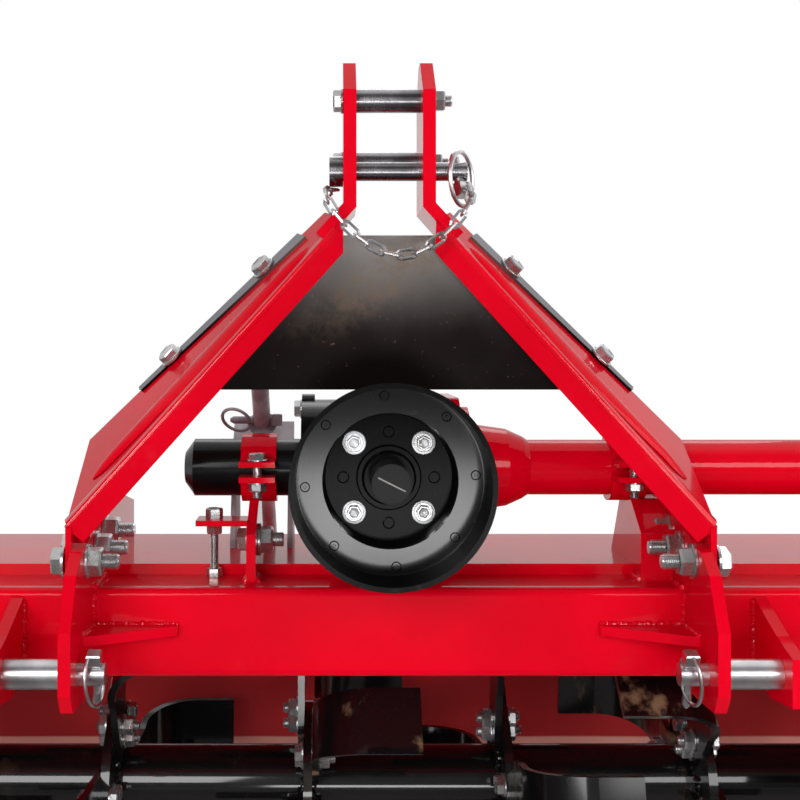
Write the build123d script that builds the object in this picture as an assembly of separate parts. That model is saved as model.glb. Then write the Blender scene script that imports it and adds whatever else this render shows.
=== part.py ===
"""Rotary tiller for a three-point hitch: a tined rotor under a deck, driven through a gearbox and a side case.

Millimetres. While it is modelled, X = 0 is the hitch's middle plane, Y = 0 the beam's front face, Z = 0 the floor.
The front, where the tractor is, lies towards -Y. The finished machine is then centred over its own footprint.
"""

import math
import os

from build123d import *

# Rotor
TINE_TIP_R = 225.0          # swing radius of the tines
TINE_GROUND_GAP = 12.0      # tine tips above the floor when the machine stands on its skids
ROTOR_SETBACK = 20.0        # foremost tine tip behind the beam's front face
ROTOR_TUBE_R = 42.0
FLANGE_END_GAP = 75.0       # outermost flange to end plate
FLANGE_COUNT = 6
FLANGE_R = 92.0
FLANGE_T = 10.0
TINES_PER_FLANGE = 6
TINE_T = 8.0                # thickness of a tine's steel
TINE_W = 52.0               # width of a tine's shank
TINE_BLADE_W = 74.0         # width of a tine's blade
TINE_SWEEP = 20.0           # how far the blade trails behind the shank's middle
TINE_REACH = 118.0          # how far a tine's blade turns to the side
TINE_ROOT_R = 56.0          # where a shank starts, measured from the rotor axis
TINE_BEND_R = 62.0
STUB_R = 25.0               # rotor stub axles
ROTOR_END_GAP = 20.0        # tube end to end plate

# Frame
BEAM = 90.0                 # square main beam
BEAM_WALL = 6.0
BEAM_CORNER_R = 8.0
TINE_ROOM = 52.0            # beam's top above the tines' circle
UNIT_OFFSET = 30.0          # tilling unit's middle, to the drive side of the hitch's middle
INNER_WIDTH = 1300.0        # between the end plates
END_PLATE_T = 8.0
DECK_T = 6.0
DECK_STEP = 12.0            # deck top above the beam's top
DECK_LAP = 14.0             # deck front edge ahead of the beam's back face
DECK_FLAT_BACK = 0.2        # the deck's folds lie round the rotor: back and up from its axis, in tine radii
DECK_KNEE_AT = (0.69, 0.90)
DECK_TAIL_AT = (1.02, 0.46)

# Hitch
HITCH_PLATE_T = 12.0
HITCH_PLATE_X = 298.0       # inner face of the inner hitch plates
CLEVIS_GAP = 58.0           # room for a lower link's ball
LOWER_PIN_Y = -75.0
LOWER_PIN_DROP = 67.0       # lower pins below the beam's top
LOWER_PIN_R = 11.0
SLEEVE_R = 14.2
PIN_CLEAR = 0.1
HITCH_FRONT_Y = -112.0      # front edge of the hitch plates
HITCH_REAR_Y = 262.0
HITCH_RISE = 92.0           # hitch plates above the beam's top
MAST_HEIGHT = 489.0         # lower pins to top pin

# Mast
MAST_GAP = 66.0             # between the two mast plates
MAST_PLATE_T = 13.0
MAST_FRONT_Y = -20.0
MAST_DEPTH = 95.0
TOP_PIN_Y = 12.0
TOP_PIN_R = 9.5
PIN_HEAD_R = 15.5
SPACER_R = 12.0
SPACER_RISE = 73.0          # upper spacer above the top pin
LEG_T = 6.0
LEG_FLANGE = 24.0
LEG_RIB = 3.0               # pressed stiffening rib on a leg's outer face
LEG_FOOT_W = 130.0          # leg's width at its foot
LEG_HEAD_W = 56.0           # leg's width at its head
LEG_TILT = 23.0             # degrees that a leg's face turns towards the front
LEG_FOOT_RISE = 68.0        # a leg's fold above the beam's top
LEG_REACH = 30.0            # a leg's foot in front of its head
LEG_HEAD_DROP = 51.0        # a leg's head below the top pin
CHAIN_WIRE_R = 1.6
CHAIN_W = 8.5               # width between a link's wire middles
CHAIN_PITCH = 16.0
CHAIN_PLAY = 0.3            # a link's reach past a close fit, at each end
CHAIN_HEAD_HANG = 2.8       # chain's two ends below the top pin's head and tip
CHAIN_TIP_HANG = 5.5
CHAIN_DROP = 88.0           # chain's lowest link below the top pin
GUARD_T = 3.0
GUARD_DROP = 12.0           # guard's upper edge below the legs' heads
GUARD_CLEAR = 8.0           # guard's lower edge above the gearbox
GUARD_WING = 20.0

# Drive
DRIVE_RISE = 112.0          # drive axis above the beam's top
DRIVE_Y = 110.0
GEARBOX_HALF_X = 76.0
GEARBOX_HALF_Y = 104.0
GEARBOX_HALF_Z = 78.0
COVER_R = 66.0              # right-hand shoulder of the gearbox, for the drive tube
COVER_T = 14.0
BEARING_R = 74.0            # left-hand bearing housing
BEARING_T = 60.0
LOBE_R = 14.0               # bolting lobes on the bearing housing
TUBE_R = 30.0
TUBE_WALL = 6.0
TUBE_PASS = 8.0             # room round the drive tube where it passes a plate
CAP_TUBE_R = 31.0
CAP_TUBE_END_X = -217.0
CLAMP_LEFT_X = -136.0
CLAMP_RIGHT_X = 262.0
CLAMP_W = 38.0
CLAMP_T = 6.0
CLAMP_SPLIT = 5.0           # half the gap between the clamp's ears
CLAMP_EAR = 26.0
CLAMP_CLEAR = 0.1
SHIELD_R = 98.0
SHIELD_NECK_R = 68.0
SHIELD_DEPTH = 103.0
SHIELD_STEP = 41.0
SHIELD_T = 4.0
INPUT_R = 17.45
INPUT_REACH = 68.0
INPUT_CLEAR = 0.3
CAP_R = 19.5
CASE_T = 86.0               # side case thickness
CASE_TOP_R = 82.0
CASE_FOOT_R = 104.0
CASE_COVER_T = 12.0
HUB_R = 72.0
HUB_T = 44.0

# Skids and tailgate
SKID_W = 64.0
SKID_T = 8.0
SKID_FRONT_Y = -10.0
SKID_REAR_Y = 440.0
SKID_TOE_R = 90.0
HINGE_ROD_R = 8.0
HINGE_KNUCKLE_R = 13.0
HINGE_CLEAR = 0.4
HINGE_DROP = 14.0           # hinge axis below and behind the deck's rear edge
GATE_T = 5.0
GATE_KNEE_AT = (1.40, -0.27)
GATE_FOOT_AT = (1.76, -0.80)
GATE_SIDE_GAP = 8.0
ROD_R = 10.0
ROD_X = -139.0
ROD_GUIDE_FROM_DRIVE = (125.0, 14.0)    # Y, Z from the drive axis to where the rod passes its guide
ROD_EYE_FROM_HINGE = (78.0, 6.0)        # Y, Z from the hinge to the rod's lower eye
GUIDE_W = 72.0
GUIDE_L = 64.0
KNUCKLE_W = 70.0
KNUCKLE_SPREAD = 0.37       # outer hinge eyes from the middle, as a share of the width
ROD_OVERHANG = 125.0        # rod beyond its guide
ROD_SLOT_CLEAR = 6.0
SEAT_GAP = 0.2              # gap where two pieces only rest on each other

ROTOR_Y = TINE_TIP_R + ROTOR_SETBACK
ROTOR_Z = TINE_TIP_R + TINE_GROUND_GAP
BEAM_TOP = ROTOR_Z + TINE_TIP_R + TINE_ROOM
BEAM_BOTTOM = BEAM_TOP - BEAM
UNIT_LEFT = UNIT_OFFSET - INNER_WIDTH / 2
UNIT_RIGHT = UNIT_OFFSET + INNER_WIDTH / 2
FLANGE_PITCH = (INNER_WIDTH - 2 * FLANGE_END_GAP) / (FLANGE_COUNT - 1)


def round_rotor(back, up):
    """Y and Z of a fold in the sheets round the rotor, given in tine radii from its axis."""
    return (ROTOR_Y + back * TINE_TIP_R, ROTOR_Z + up * TINE_TIP_R)


DECK_TOP = BEAM_TOP + DECK_STEP
DECK_FLAT_END = ROTOR_Y + DECK_FLAT_BACK * TINE_TIP_R
DECK_KNEE = round_rotor(*DECK_KNEE_AT)
DECK_TAIL = round_rotor(*DECK_TAIL_AT)
GATE_KNEE = round_rotor(*GATE_KNEE_AT)
GATE_FOOT = round_rotor(*GATE_FOOT_AT)
HINGE_Y = DECK_TAIL[0] + HINGE_DROP
HINGE_Z = DECK_TAIL[1] - HINGE_DROP
DRIVE_Z = BEAM_TOP + DRIVE_RISE
LOWER_PIN_Z = BEAM_TOP - LOWER_PIN_DROP
TOP_PIN_Z = LOWER_PIN_Z + MAST_HEIGHT
SPACER_Z = TOP_PIN_Z + SPACER_RISE
MAST_TOP_Z = SPACER_Z + 40.0
LEG_FOOT_Y = MAST_FRONT_Y - LEG_REACH
LEG_FOOT_Z = BEAM_TOP + LEG_FOOT_RISE
LEG_HEAD_Z = TOP_PIN_Z - LEG_HEAD_DROP
GUARD_TOP_Z = LEG_HEAD_Z - GUARD_DROP
GUARD_BOTTOM_Z = DRIVE_Z + GEARBOX_HALF_Z + GUARD_CLEAR
HITCH_OUTER_X = HITCH_PLATE_X + HITCH_PLATE_T
CLEVIS_X = HITCH_OUTER_X + CLEVIS_GAP
ROD_GUIDE = (DRIVE_Y + ROD_GUIDE_FROM_DRIVE[0], DRIVE_Z + ROD_GUIDE_FROM_DRIVE[1])
ROD_EYE = (HINGE_Y + ROD_EYE_FROM_HINGE[0], HINGE_Z + ROD_EYE_FROM_HINGE[1])


def outline(*points):
    """A closed flat face from corner points."""
    return make_face(Polyline(*points, close=True))


def slab_x(face_points, x_from, x_to, corner=0.0):
    """A plate whose outline is drawn in Y and Z and whose thickness runs along X."""
    face = outline(*face_points)
    if corner:
        face = fillet(face.vertices(), corner)
    return extrude(Plane.YZ.offset(x_from) * face, amount=x_to - x_from)


def rod_x(x_from, x_to, y, z, radius):
    """A round bar along X."""
    return extrude(Plane.YZ.offset(x_from) * Pos(y, z) * Circle(radius), amount=x_to - x_from)


def rod_y(y_from, y_to, x, z, radius):
    """A round bar along Y."""
    plane = Plane(origin=(x, y_from, z), x_dir=(1, 0, 0), z_dir=(0, 1, 0))
    return extrude(plane * Circle(radius), amount=y_to - y_from)


def box_between(low, high):
    """A box from its lowest to its highest corner."""
    size = [h - l for l, h in zip(low, high)]
    return Pos(*low) * Box(*size, align=(Align.MIN, Align.MIN, Align.MIN))


def mirrored(shape):
    """The same piece on the other side of the hitch's middle plane."""
    return mirror(shape, about=Plane.YZ)


def sheet_profile(points, thickness):
    """The cross-section of a folded sheet: the fold line, thickened towards its right-hand side."""
    inner = []
    for i, (y, z) in enumerate(points):
        normals = []
        for a, b in zip(points, points[1:]):
            if points[i] in (a, b):
                length = math.dist(a, b)
                normals.append(((b[1] - a[1]) / length, -(b[0] - a[0]) / length))
        ny = sum(n[0] for n in normals)
        nz = sum(n[1] for n in normals)
        scale = thickness * len(normals) / (ny * ny + nz * nz)
        inner.append((y + ny * scale, z + nz * scale))
    return list(points) + inner[::-1]


# Frame pieces

def main_beam():
    tube = RectangleRounded(BEAM, BEAM, BEAM_CORNER_R)
    tube -= RectangleRounded(BEAM - 2 * BEAM_WALL, BEAM - 2 * BEAM_WALL, BEAM_CORNER_R - BEAM_WALL / 2)
    section = Plane.YZ.offset(UNIT_LEFT) * Pos(BEAM / 2, BEAM_TOP - BEAM / 2) * tube
    return extrude(section, amount=INNER_WIDTH)


def deck_line():
    front = BEAM - DECK_LAP
    return [(front, DECK_TOP), (DECK_FLAT_END, DECK_TOP), DECK_KNEE, DECK_TAIL]


def deck():
    """Folded top sheet: a front lip on the beam, a flat, and two falls towards the tailgate."""
    front = BEAM - DECK_LAP
    section = outline(*sheet_profile(deck_line(), DECK_T))
    lip = outline(
        (front, BEAM_TOP),
        (front + DECK_T, BEAM_TOP),
        (front + DECK_T, DECK_TOP),
        (front, DECK_TOP),
    )
    return extrude(Plane.YZ.offset(UNIT_LEFT) * (section + lip), amount=INNER_WIDTH)


def end_plate_outline():
    foot_z = ROTOR_Z - CASE_FOOT_R
    return [
        (0.0, BEAM_TOP),
        (BEAM - DECK_LAP, DECK_TOP),
        (DECK_FLAT_END, DECK_TOP),
        DECK_KNEE,
        DECK_TAIL,
        (DECK_TAIL[0] - 10.0, ROTOR_Z - 40.0),
        (ROTOR_Y + 150.0, foot_z),
        (ROTOR_Y - 130.0, foot_z),
        (0.0, BEAM_BOTTOM - 60.0),
    ]


def end_plate(x_from):
    plate = slab_x(end_plate_outline(), x_from, x_from + END_PLATE_T)
    return plate - rod_x(x_from - 1, x_from + END_PLATE_T + 1, ROTOR_Y, ROTOR_Z, STUB_R + HINGE_CLEAR)


def hitch_plate_outline():
    """Inner hitch plate: a hooked front lobe with the pin, and a low tail along the deck."""
    pin_z = LOWER_PIN_Z
    return [
        (HITCH_FRONT_Y + 12.0, pin_z - 30.0),
        (HITCH_FRONT_Y, pin_z - 12.0),
        (HITCH_FRONT_Y, pin_z + 46.0),
        (HITCH_FRONT_Y + 28.0, BEAM_TOP + 28.0),
        (LEG_FOOT_Y - 6.0, BEAM_TOP + 46.0),
        (LEG_FOOT_Y + 24.0, BEAM_TOP + 50.0),
        (LEG_FOOT_Y + 52.0, BEAM_TOP + 68.0),
        (BEAM, BEAM_TOP + HITCH_RISE),
        (HITCH_REAR_Y, DECK_TOP + 46.0),
        (HITCH_REAR_Y, DECK_TOP),
        (BEAM - DECK_LAP, DECK_TOP),
        (BEAM - DECK_LAP, BEAM_TOP),
        (0.0, BEAM_TOP),
        (0.0, BEAM_BOTTOM + BEAM_CORNER_R),
        (-28.0, BEAM_BOTTOM - 8.0),
        (-50.0, pin_z - 32.0),
    ]


def pin_hole(x_from, x_to, radius):
    return rod_x(x_from, x_to, LOWER_PIN_Y, LOWER_PIN_Z, radius + PIN_CLEAR)


def hitch_plate():
    """Right-hand inner hitch plate."""
    plate = slab_x(hitch_plate_outline(), HITCH_PLATE_X, HITCH_OUTER_X)
    return plate - pin_hole(HITCH_PLATE_X - 1, HITCH_OUTER_X + 1, LOWER_PIN_R)


def clevis_plate():
    """Right-hand outer hitch plate, standing straight off the beam."""
    points = [
        (0.0, BEAM_TOP - BEAM_CORNER_R),
        (HITCH_FRONT_Y + 46.0, LOWER_PIN_Z + 34.0),
        (HITCH_FRONT_Y + 4.0, LOWER_PIN_Z + 22.0),
        (HITCH_FRONT_Y + 4.0, LOWER_PIN_Z - 24.0),
        (-48.0, LOWER_PIN_Z - 30.0),
        (0.0, BEAM_BOTTOM + BEAM_CORNER_R),
    ]
    plate = slab_x(points, CLEVIS_X, CLEVIS_X + HITCH_PLATE_T)
    return plate - pin_hole(CLEVIS_X - 1, CLEVIS_X + HITCH_PLATE_T + 1, LOWER_PIN_R)


def hitch_gusset():
    """Right-hand rib inside the hitch plate, lying flat against the beam's front face."""
    rib_z = BEAM_TOP - 46.0
    face = outline((HITCH_PLATE_X, 0), (HITCH_PLATE_X, -58), (HITCH_PLATE_X - 86, -8), (HITCH_PLATE_X - 86, 0))
    return extrude(Plane.XY.offset(rib_z) * face, amount=10.0)


def lower_pin():
    """Right-hand lower hitch pin, with its sleeve, head and retaining collar."""
    outer_end = CLEVIS_X + HITCH_PLATE_T
    pin = rod_x(HITCH_PLATE_X - 26.0, outer_end + 8.0, LOWER_PIN_Y, LOWER_PIN_Z, LOWER_PIN_R)
    sleeve = rod_x(HITCH_OUTER_X + SEAT_GAP, CLEVIS_X - SEAT_GAP, LOWER_PIN_Y, LOWER_PIN_Z, SLEEVE_R)
    head = rod_x(outer_end + SEAT_GAP, outer_end + 12.0, LOWER_PIN_Y, LOWER_PIN_Z, LOWER_PIN_R + 6.0)
    return pin + sleeve + head


# Mast

def leg_frame():
    """Right-hand leg: foot and head of its front edge, and its unit directions."""
    foot = Vector(HITCH_OUTER_X + LEG_T, LEG_FOOT_Y, LEG_FOOT_Z)
    head = Vector(MAST_GAP / 2 + MAST_PLATE_T, MAST_FRONT_Y, LEG_HEAD_Z)
    along = (head - foot).normalized()
    outward = Vector(0, 1, 0).cross(along).normalized()
    back = along.cross(outward)
    tilt = math.radians(LEG_TILT)
    across = back * math.cos(tilt) + outward * math.sin(tilt)
    normal = outward * math.cos(tilt) - back * math.sin(tilt)
    crease = across - along * (across.X / along.X)
    return foot, head, along, across, normal, crease


def flat_plate(points, direction, thickness):
    """A plate from corner points in space, thickened along a unit direction."""
    face = Face(Wire.make_polygon([Vector(p) for p in points], close=True))
    return Solid.extrude(face, direction * thickness)


def leg_corners():
    foot, head, along, across, normal, crease = leg_frame()
    crease_length = LEG_FOOT_W / crease.dot(across)
    rear_foot = foot + crease * crease_length
    rear_head = head + across * LEG_HEAD_W
    return foot, head, rear_head, rear_foot


def mast_leg():
    """Right-hand leg: a tapering plate with a turned front flange and an upright foot for its bolts."""
    foot, head, along, across, normal, crease = leg_frame()
    corners = leg_corners()
    web = flat_plate(corners, normal * -1, LEG_T)
    flange = flat_plate(
        [foot, head, head - normal * LEG_FLANGE, foot - normal * LEG_FLANGE],
        across,
        LEG_T,
    )
    rear_foot = corners[3]
    bottom = BEAM_TOP + 14.0
    tab = flat_plate(
        [foot, rear_foot, Vector(rear_foot.X, rear_foot.Y, bottom + 36), Vector(foot.X, foot.Y, bottom)],
        Vector(-1, 0, 0),
        LEG_T,
    )
    run = head - foot
    rib_low = foot + run * 0.16 + across * 34.0
    rib_high = foot + run * 0.86 + across * 22.0
    swell = across * 11.0
    rib = flat_plate([rib_low, (rib_low + rib_high) * 0.5 + swell, rib_high, (rib_low + rib_high) * 0.5 - swell], normal, LEG_RIB)
    inside = slab_x(hitch_plate_outline(), 0, HITCH_OUTER_X)
    head_cut = box_between((-200, -300, 600), (MAST_GAP / 2 + MAST_PLATE_T, 400, 1200))
    return Part() + [web, flange, tab, rib] - inside - head_cut


def mast_plate(leg):
    """Right-hand mast plate: upright ear with the pin holes, its foot bent outwards under the leg."""
    x_in = MAST_GAP / 2
    foot, head, along, across, normal, crease = leg_frame()
    bend_z = LEG_HEAD_Z + 12.0
    run = 46.0
    toe = (x_in - along.X * run, bend_z - along.Z * run)
    t = MAST_PLATE_T
    face = outline(
        (x_in, MAST_TOP_Z),
        (x_in + t, MAST_TOP_Z),
        (x_in + t, bend_z + 4.0),
        (toe[0] + t * along.Z, toe[1] - t * along.X),
        toe,
        (x_in, bend_z),
    )
    plane = Plane(origin=(0, MAST_FRONT_Y + MAST_DEPTH, 0), x_dir=(1, 0, 0), z_dir=(0, -1, 0))
    plate = extrude(plane * face, amount=MAST_DEPTH)
    front_cut = slab_x(
        [(MAST_FRONT_Y - 1, MAST_TOP_Z - 36), (MAST_FRONT_Y - 1, MAST_TOP_Z + 1), (MAST_FRONT_Y + 44, MAST_TOP_Z + 1)],
        0,
        x_in + t + 1,
    )
    rear = MAST_FRONT_Y + MAST_DEPTH
    rear_cut = slab_x(
        [(rear + 1, MAST_TOP_Z - 30), (rear + 1, MAST_TOP_Z + 1), (rear - 30, MAST_TOP_Z + 1)],
        0,
        x_in + t + 1,
    )
    holes = rod_x(0, x_in + t + 1, TOP_PIN_Y, TOP_PIN_Z, TOP_PIN_R + PIN_CLEAR)
    return plate - front_cut - rear_cut - holes - leg


def mast_spacers():
    """Two bolted tubes that hold the mast plates apart."""
    inner = MAST_GAP / 2
    top = rod_x(-inner, inner, TOP_PIN_Y + 6.0, SPACER_Z, SPACER_R)
    rear = rod_x(-inner, inner, MAST_FRONT_Y + MAST_DEPTH - 22.0, TOP_PIN_Z + 14.0, SPACER_R)
    return [top, rear]


def top_link_pin():
    outer = MAST_GAP / 2 + MAST_PLATE_T
    pin = rod_x(-outer - 6.0, outer + 34.0, TOP_PIN_Y, TOP_PIN_Z, TOP_PIN_R)
    head = rod_x(-outer - 14.0, -outer - SEAT_GAP, TOP_PIN_Y, TOP_PIN_Z, PIN_HEAD_R)
    return pin + head


def chain_link(pitch):
    """One chain link, its length along X: a six-sided wire bent at eight corners, which keeps its facets few."""
    side = CHAIN_W / 2
    tip = pitch / 2 + CHAIN_WIRE_R + CHAIN_PLAY
    shoulder = tip - side + side * math.tan(math.radians(15))
    nose = side * math.tan(math.radians(30))
    path = Polyline(
        (0, side),
        (shoulder, side),
        (tip, nose),
        (tip, -nose),
        (shoulder, -side),
        (-shoulder, -side),
        (-tip, -nose),
        (-tip, nose),
        (-shoulder, side),
        (0, side),
    )
    section = Plane(origin=path @ 0, z_dir=path % 0) * RegularPolygon(CHAIN_WIRE_R, 6)
    return sweep(section, path=path, transition=Transition.RIGHT)


def retaining_chain():
    """Clip's chain: links hung in an arc in front of the mast, from under the top pin's head to its far end."""
    outer = MAST_GAP / 2 + MAST_PLATE_T
    front = MAST_FRONT_Y - 2 * CHAIN_W
    arc = Spline(
        Vector(-outer - 8.0, TOP_PIN_Y, TOP_PIN_Z - PIN_HEAD_R - CHAIN_HEAD_HANG),
        Vector(-outer - 10.0, front, TOP_PIN_Z - 0.5 * CHAIN_DROP),
        Vector(outer / 4, front - CHAIN_WIRE_R, TOP_PIN_Z - CHAIN_DROP),
        Vector(outer + 24.0, front, TOP_PIN_Z - 0.55 * CHAIN_DROP),
        Vector(outer + 30.0, TOP_PIN_Y, TOP_PIN_Z - TOP_PIN_R - CHAIN_TIP_HANG),
    )
    count = round(arc.length / CHAIN_PITCH)
    link = chain_link(arc.length / count)
    made = []
    for k in range(count):
        share = (k + 0.5) / count
        here, along = arc @ share, arc % share
        seat = Plane(origin=here, x_dir=along, z_dir=along.cross(Vector(0, 1, 0.2)))
        made.append(seat * Rot(90 * (k % 2), 0, 0) * link)
    return made


def driveline_guard(neighbours):
    """Dark sheet between the legs, its edges folded forward on to the legs' outer faces."""
    foot, head, rear_head, rear_foot = leg_corners()
    normal = leg_frame()[4]
    across = leg_frame()[3]
    edge = rear_head - rear_foot

    def at_height(z):
        return rear_foot + edge * ((z - rear_foot.Z) / edge.Z)

    low, high = at_height(GUARD_BOTTOM_Z), at_height(GUARD_TOP_Z)
    back = Vector(0, edge.Z, -edge.Y).normalized()
    setback = back * (LEG_T * 0.25)
    lap = Vector(GUARD_T, 0, 0)
    panel = flat_plate(
        [
            low + lap + setback,
            high + lap + setback,
            Vector(-high.X, high.Y, high.Z) - lap + setback,
            Vector(-low.X, low.Y, low.Z) - lap + setback,
        ],
        back,
        GUARD_T,
    )
    over = across * (GUARD_T * 1.5)
    wing = flat_plate(
        [low + over, high + over, high - across * GUARD_WING, low - across * GUARD_WING * 0.4],
        normal,
        GUARD_T,
    )
    sheet = Part() + [panel, wing, mirrored(wing)]
    for neighbour in neighbours:
        sheet -= neighbour
    return sheet


# Drive

def tube_way():
    """The room that the drive tube needs through the right-hand hitch plate and leg."""
    return rod_x(HITCH_PLATE_X - 60.0, HITCH_OUTER_X + 200.0, DRIVE_Y, DRIVE_Z, TUBE_R + TUBE_PASS)


def gearbox():
    """Cast bevel gearbox: a rounded block with a nose for the input and a shoulder for the drive tube."""
    left = BEARING_T - COVER_T - GEARBOX_HALF_X
    block = Box(GEARBOX_HALF_X - left, 2 * GEARBOX_HALF_Y - 24.0, 2 * GEARBOX_HALF_Z)
    block = fillet(block.edges().filter_by(Axis.X), 34.0)
    block = Pos((GEARBOX_HALF_X + left) / 2, DRIVE_Y + 12.0, DRIVE_Z) * block
    nose = rod_y(DRIVE_Y - GEARBOX_HALF_Y, DRIVE_Y, 0, DRIVE_Z, SHIELD_NECK_R - 8.0)
    shoulder = rod_x(0, GEARBOX_HALF_X + COVER_T, DRIVE_Y, DRIVE_Z, COVER_R)
    feet = box_between(
        (-60.0, DRIVE_Y - 34.0, DECK_TOP),
        (60.0, DRIVE_Y + 90.0, DRIVE_Z - GEARBOX_HALF_Z + 20.0),
    )
    bore = rod_y(DRIVE_Y - GEARBOX_HALF_Y - 1, DRIVE_Y - 20.0, 0, DRIVE_Z, INPUT_R + INPUT_CLEAR)
    return block + nose + shoulder + feet - bore


def gearbox_cover(housing):
    """Left-hand bearing housing, black: a round casting with three bolting lobes at its outer end."""
    outer_end = Plane.YZ.offset(-GEARBOX_HALF_X - COVER_T) * Pos(DRIVE_Y, DRIVE_Z)
    drum = extrude(outer_end * Circle(BEARING_R), amount=BEARING_T)
    lobes = Sketch()
    for k in range(3):
        lobes += Rot(0, 0, 90 + 120 * k) * Pos(BEARING_R + 6.0 - LOBE_R, 0) * Circle(LOBE_R)
    return drum + extrude(outer_end * lobes, amount=COVER_T) - housing


def drive_tube():
    """Right-hand axle tube from the gearbox to the side case, with its bell at the gearbox."""
    start = GEARBOX_HALF_X + COVER_T
    end = UNIT_RIGHT
    bell = Plane.XZ * make_face(
        Polyline(
            (start, 0), (start, 48), (start + 42, 42), (start + 60, TUBE_R + 4), (start + 66, TUBE_R),
            (end, TUBE_R), (end, 0), close=True,
        )
    )
    turned = revolve(bell, Axis.X)
    hollow = Rot(0, 90, 0) * Cylinder(TUBE_R - TUBE_WALL, end - start - 90.0, align=(Align.CENTER, Align.CENTER, Align.MIN))
    return Pos(0, DRIVE_Y, DRIVE_Z) * (turned - Pos(start + 80.0, 0, 0) * hollow)


def idle_cap():
    """Left-hand closed end of the gearbox's axle, a domed black sleeve."""
    start = -GEARBOX_HALF_X - COVER_T
    face = Plane.XZ * make_face(
        Polyline(
            (start, 0), (start, CAP_TUBE_R), (CAP_TUBE_END_X + 10, CAP_TUBE_R),
            (CAP_TUBE_END_X, CAP_TUBE_R - 14), (CAP_TUBE_END_X, 0), close=True,
        )
    )
    return Pos(0, DRIVE_Y, DRIVE_Z) * revolve(face, Axis.X)


def clamp_half(x_mid, radius, upper):
    """Half of a saddle clamp: a half ring with an ear at the front and at the back."""
    inner = radius + CLAMP_CLEAR
    outer = inner + CLAMP_T
    ring = Circle(outer) - Circle(inner)
    ears = Rectangle(2 * (outer + CLAMP_EAR), 2 * (CLAMP_T + CLAMP_SPLIT)) - Circle(inner)
    keep = Pos(0, CLAMP_SPLIT) * Rectangle(500, 500, align=(Align.CENTER, Align.MIN))
    half = (ring + ears) & keep
    if not upper:
        half = mirror(half, about=Plane.XZ)
    plane = Plane.YZ.offset(x_mid - CLAMP_W / 2)
    return extrude(plane * Pos(DRIVE_Y, DRIVE_Z) * half, amount=CLAMP_W)


def clamp_post(x_from, x_to, radius, below):
    """Upright plate that carries a clamp's lower half."""
    top = DRIVE_Z - radius - CLAMP_CLEAR - CLAMP_T
    points = [
        (below, BEAM_TOP),
        (BEAM - DECK_LAP, BEAM_TOP),
        (BEAM - DECK_LAP, DECK_TOP),
        (DRIVE_Y + 70.0, DECK_TOP),
        (DRIVE_Y + 24.0, top + 4.0),
        (DRIVE_Y - 24.0, top + 4.0),
        (below, BEAM_TOP + 50.0),
    ]
    plate = slab_x(points, x_from, x_to)
    return plate - rod_x(x_from - 1, x_to + 1, DRIVE_Y, DRIVE_Z, radius + CLAMP_CLEAR + CLAMP_T)


def pto_shield():
    """Stepped bell of black plastic round the input shaft."""
    back = DRIVE_Y - GEARBOX_HALF_Y
    t = SHIELD_T
    front = back - SHIELD_DEPTH
    step = back - SHIELD_STEP
    bell = Plane.XY * make_face(
        Polyline(
            (SHIELD_NECK_R - 40.0, back), (SHIELD_NECK_R, back), (SHIELD_NECK_R + 3.0, step + t),
            (SHIELD_R - 2.0, step + t), (SHIELD_R, front), (SHIELD_R - t - 1.0, front),
            (SHIELD_R - 2.0 - t, step), (SHIELD_NECK_R + 3.0 - t, step), (SHIELD_NECK_R - t, back - t),
            (SHIELD_NECK_R - 40.0, back - t), close=True,
        )
    )
    return Pos(0, 0, DRIVE_Z) * revolve(bell, Axis.Y)


def input_shaft():
    back = DRIVE_Y - 22.0
    return rod_y(DRIVE_Y - GEARBOX_HALF_Y - INPUT_REACH, back, 0, DRIVE_Z, INPUT_R)


def input_cap():
    """Slip-on cap over the input shaft's end."""
    front = DRIVE_Y - GEARBOX_HALF_Y - INPUT_REACH - 5.0
    back = DRIVE_Y - GEARBOX_HALF_Y - 8.0
    cap = rod_y(front, back, 0, DRIVE_Z, CAP_R)
    return cap - rod_y(front + 5.0, back + 1, 0, DRIVE_Z, INPUT_R)


def case_face(grow):
    """Side case outline: a round head at the drive axle and a larger round foot at the rotor."""
    head, foot = (DRIVE_Y, DRIVE_Z), (ROTOR_Y, ROTOR_Z)
    angle = math.degrees(math.atan2(foot[1] - head[1], foot[0] - head[0]))
    length = math.dist(head, foot)
    lean = math.asin((CASE_TOP_R - CASE_FOOT_R) / length)
    c, s = math.cos(lean + math.pi / 2), math.sin(lean + math.pi / 2)
    r1, r2 = CASE_TOP_R + grow, CASE_FOOT_R + grow
    middle = make_face(
        Polyline((r1 * c, r1 * s), (length + r2 * c, r2 * s), (length + r2 * c, -r2 * s), (r1 * c, -r1 * s), close=True)
    )
    body = Circle(r1) + Pos(length, 0) * Circle(r2) + middle
    return Pos(*head) * Rot(0, 0, angle) * body


def side_case():
    x = UNIT_RIGHT + END_PLATE_T
    case = extrude(Plane.YZ.offset(x) * case_face(0), amount=CASE_T - CASE_COVER_T)
    return case - rod_x(x - 1, x + 40.0, ROTOR_Y, ROTOR_Z, STUB_R + HINGE_CLEAR)


def side_case_cover():
    x = UNIT_RIGHT + END_PLATE_T + CASE_T - CASE_COVER_T
    return extrude(Plane.YZ.offset(x) * case_face(6.0), amount=CASE_COVER_T)


def head_flange():
    """Plate that joins the drive tube to the side case above the deck."""
    plate = extrude(Plane.YZ.offset(UNIT_RIGHT) * Pos(DRIVE_Y, DRIVE_Z) * Circle(CASE_TOP_R), amount=END_PLATE_T)
    low = box_between((UNIT_RIGHT - 1, -200, 0), (UNIT_RIGHT + END_PLATE_T + 1, 600, DECK_TOP))
    return plate - low


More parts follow.
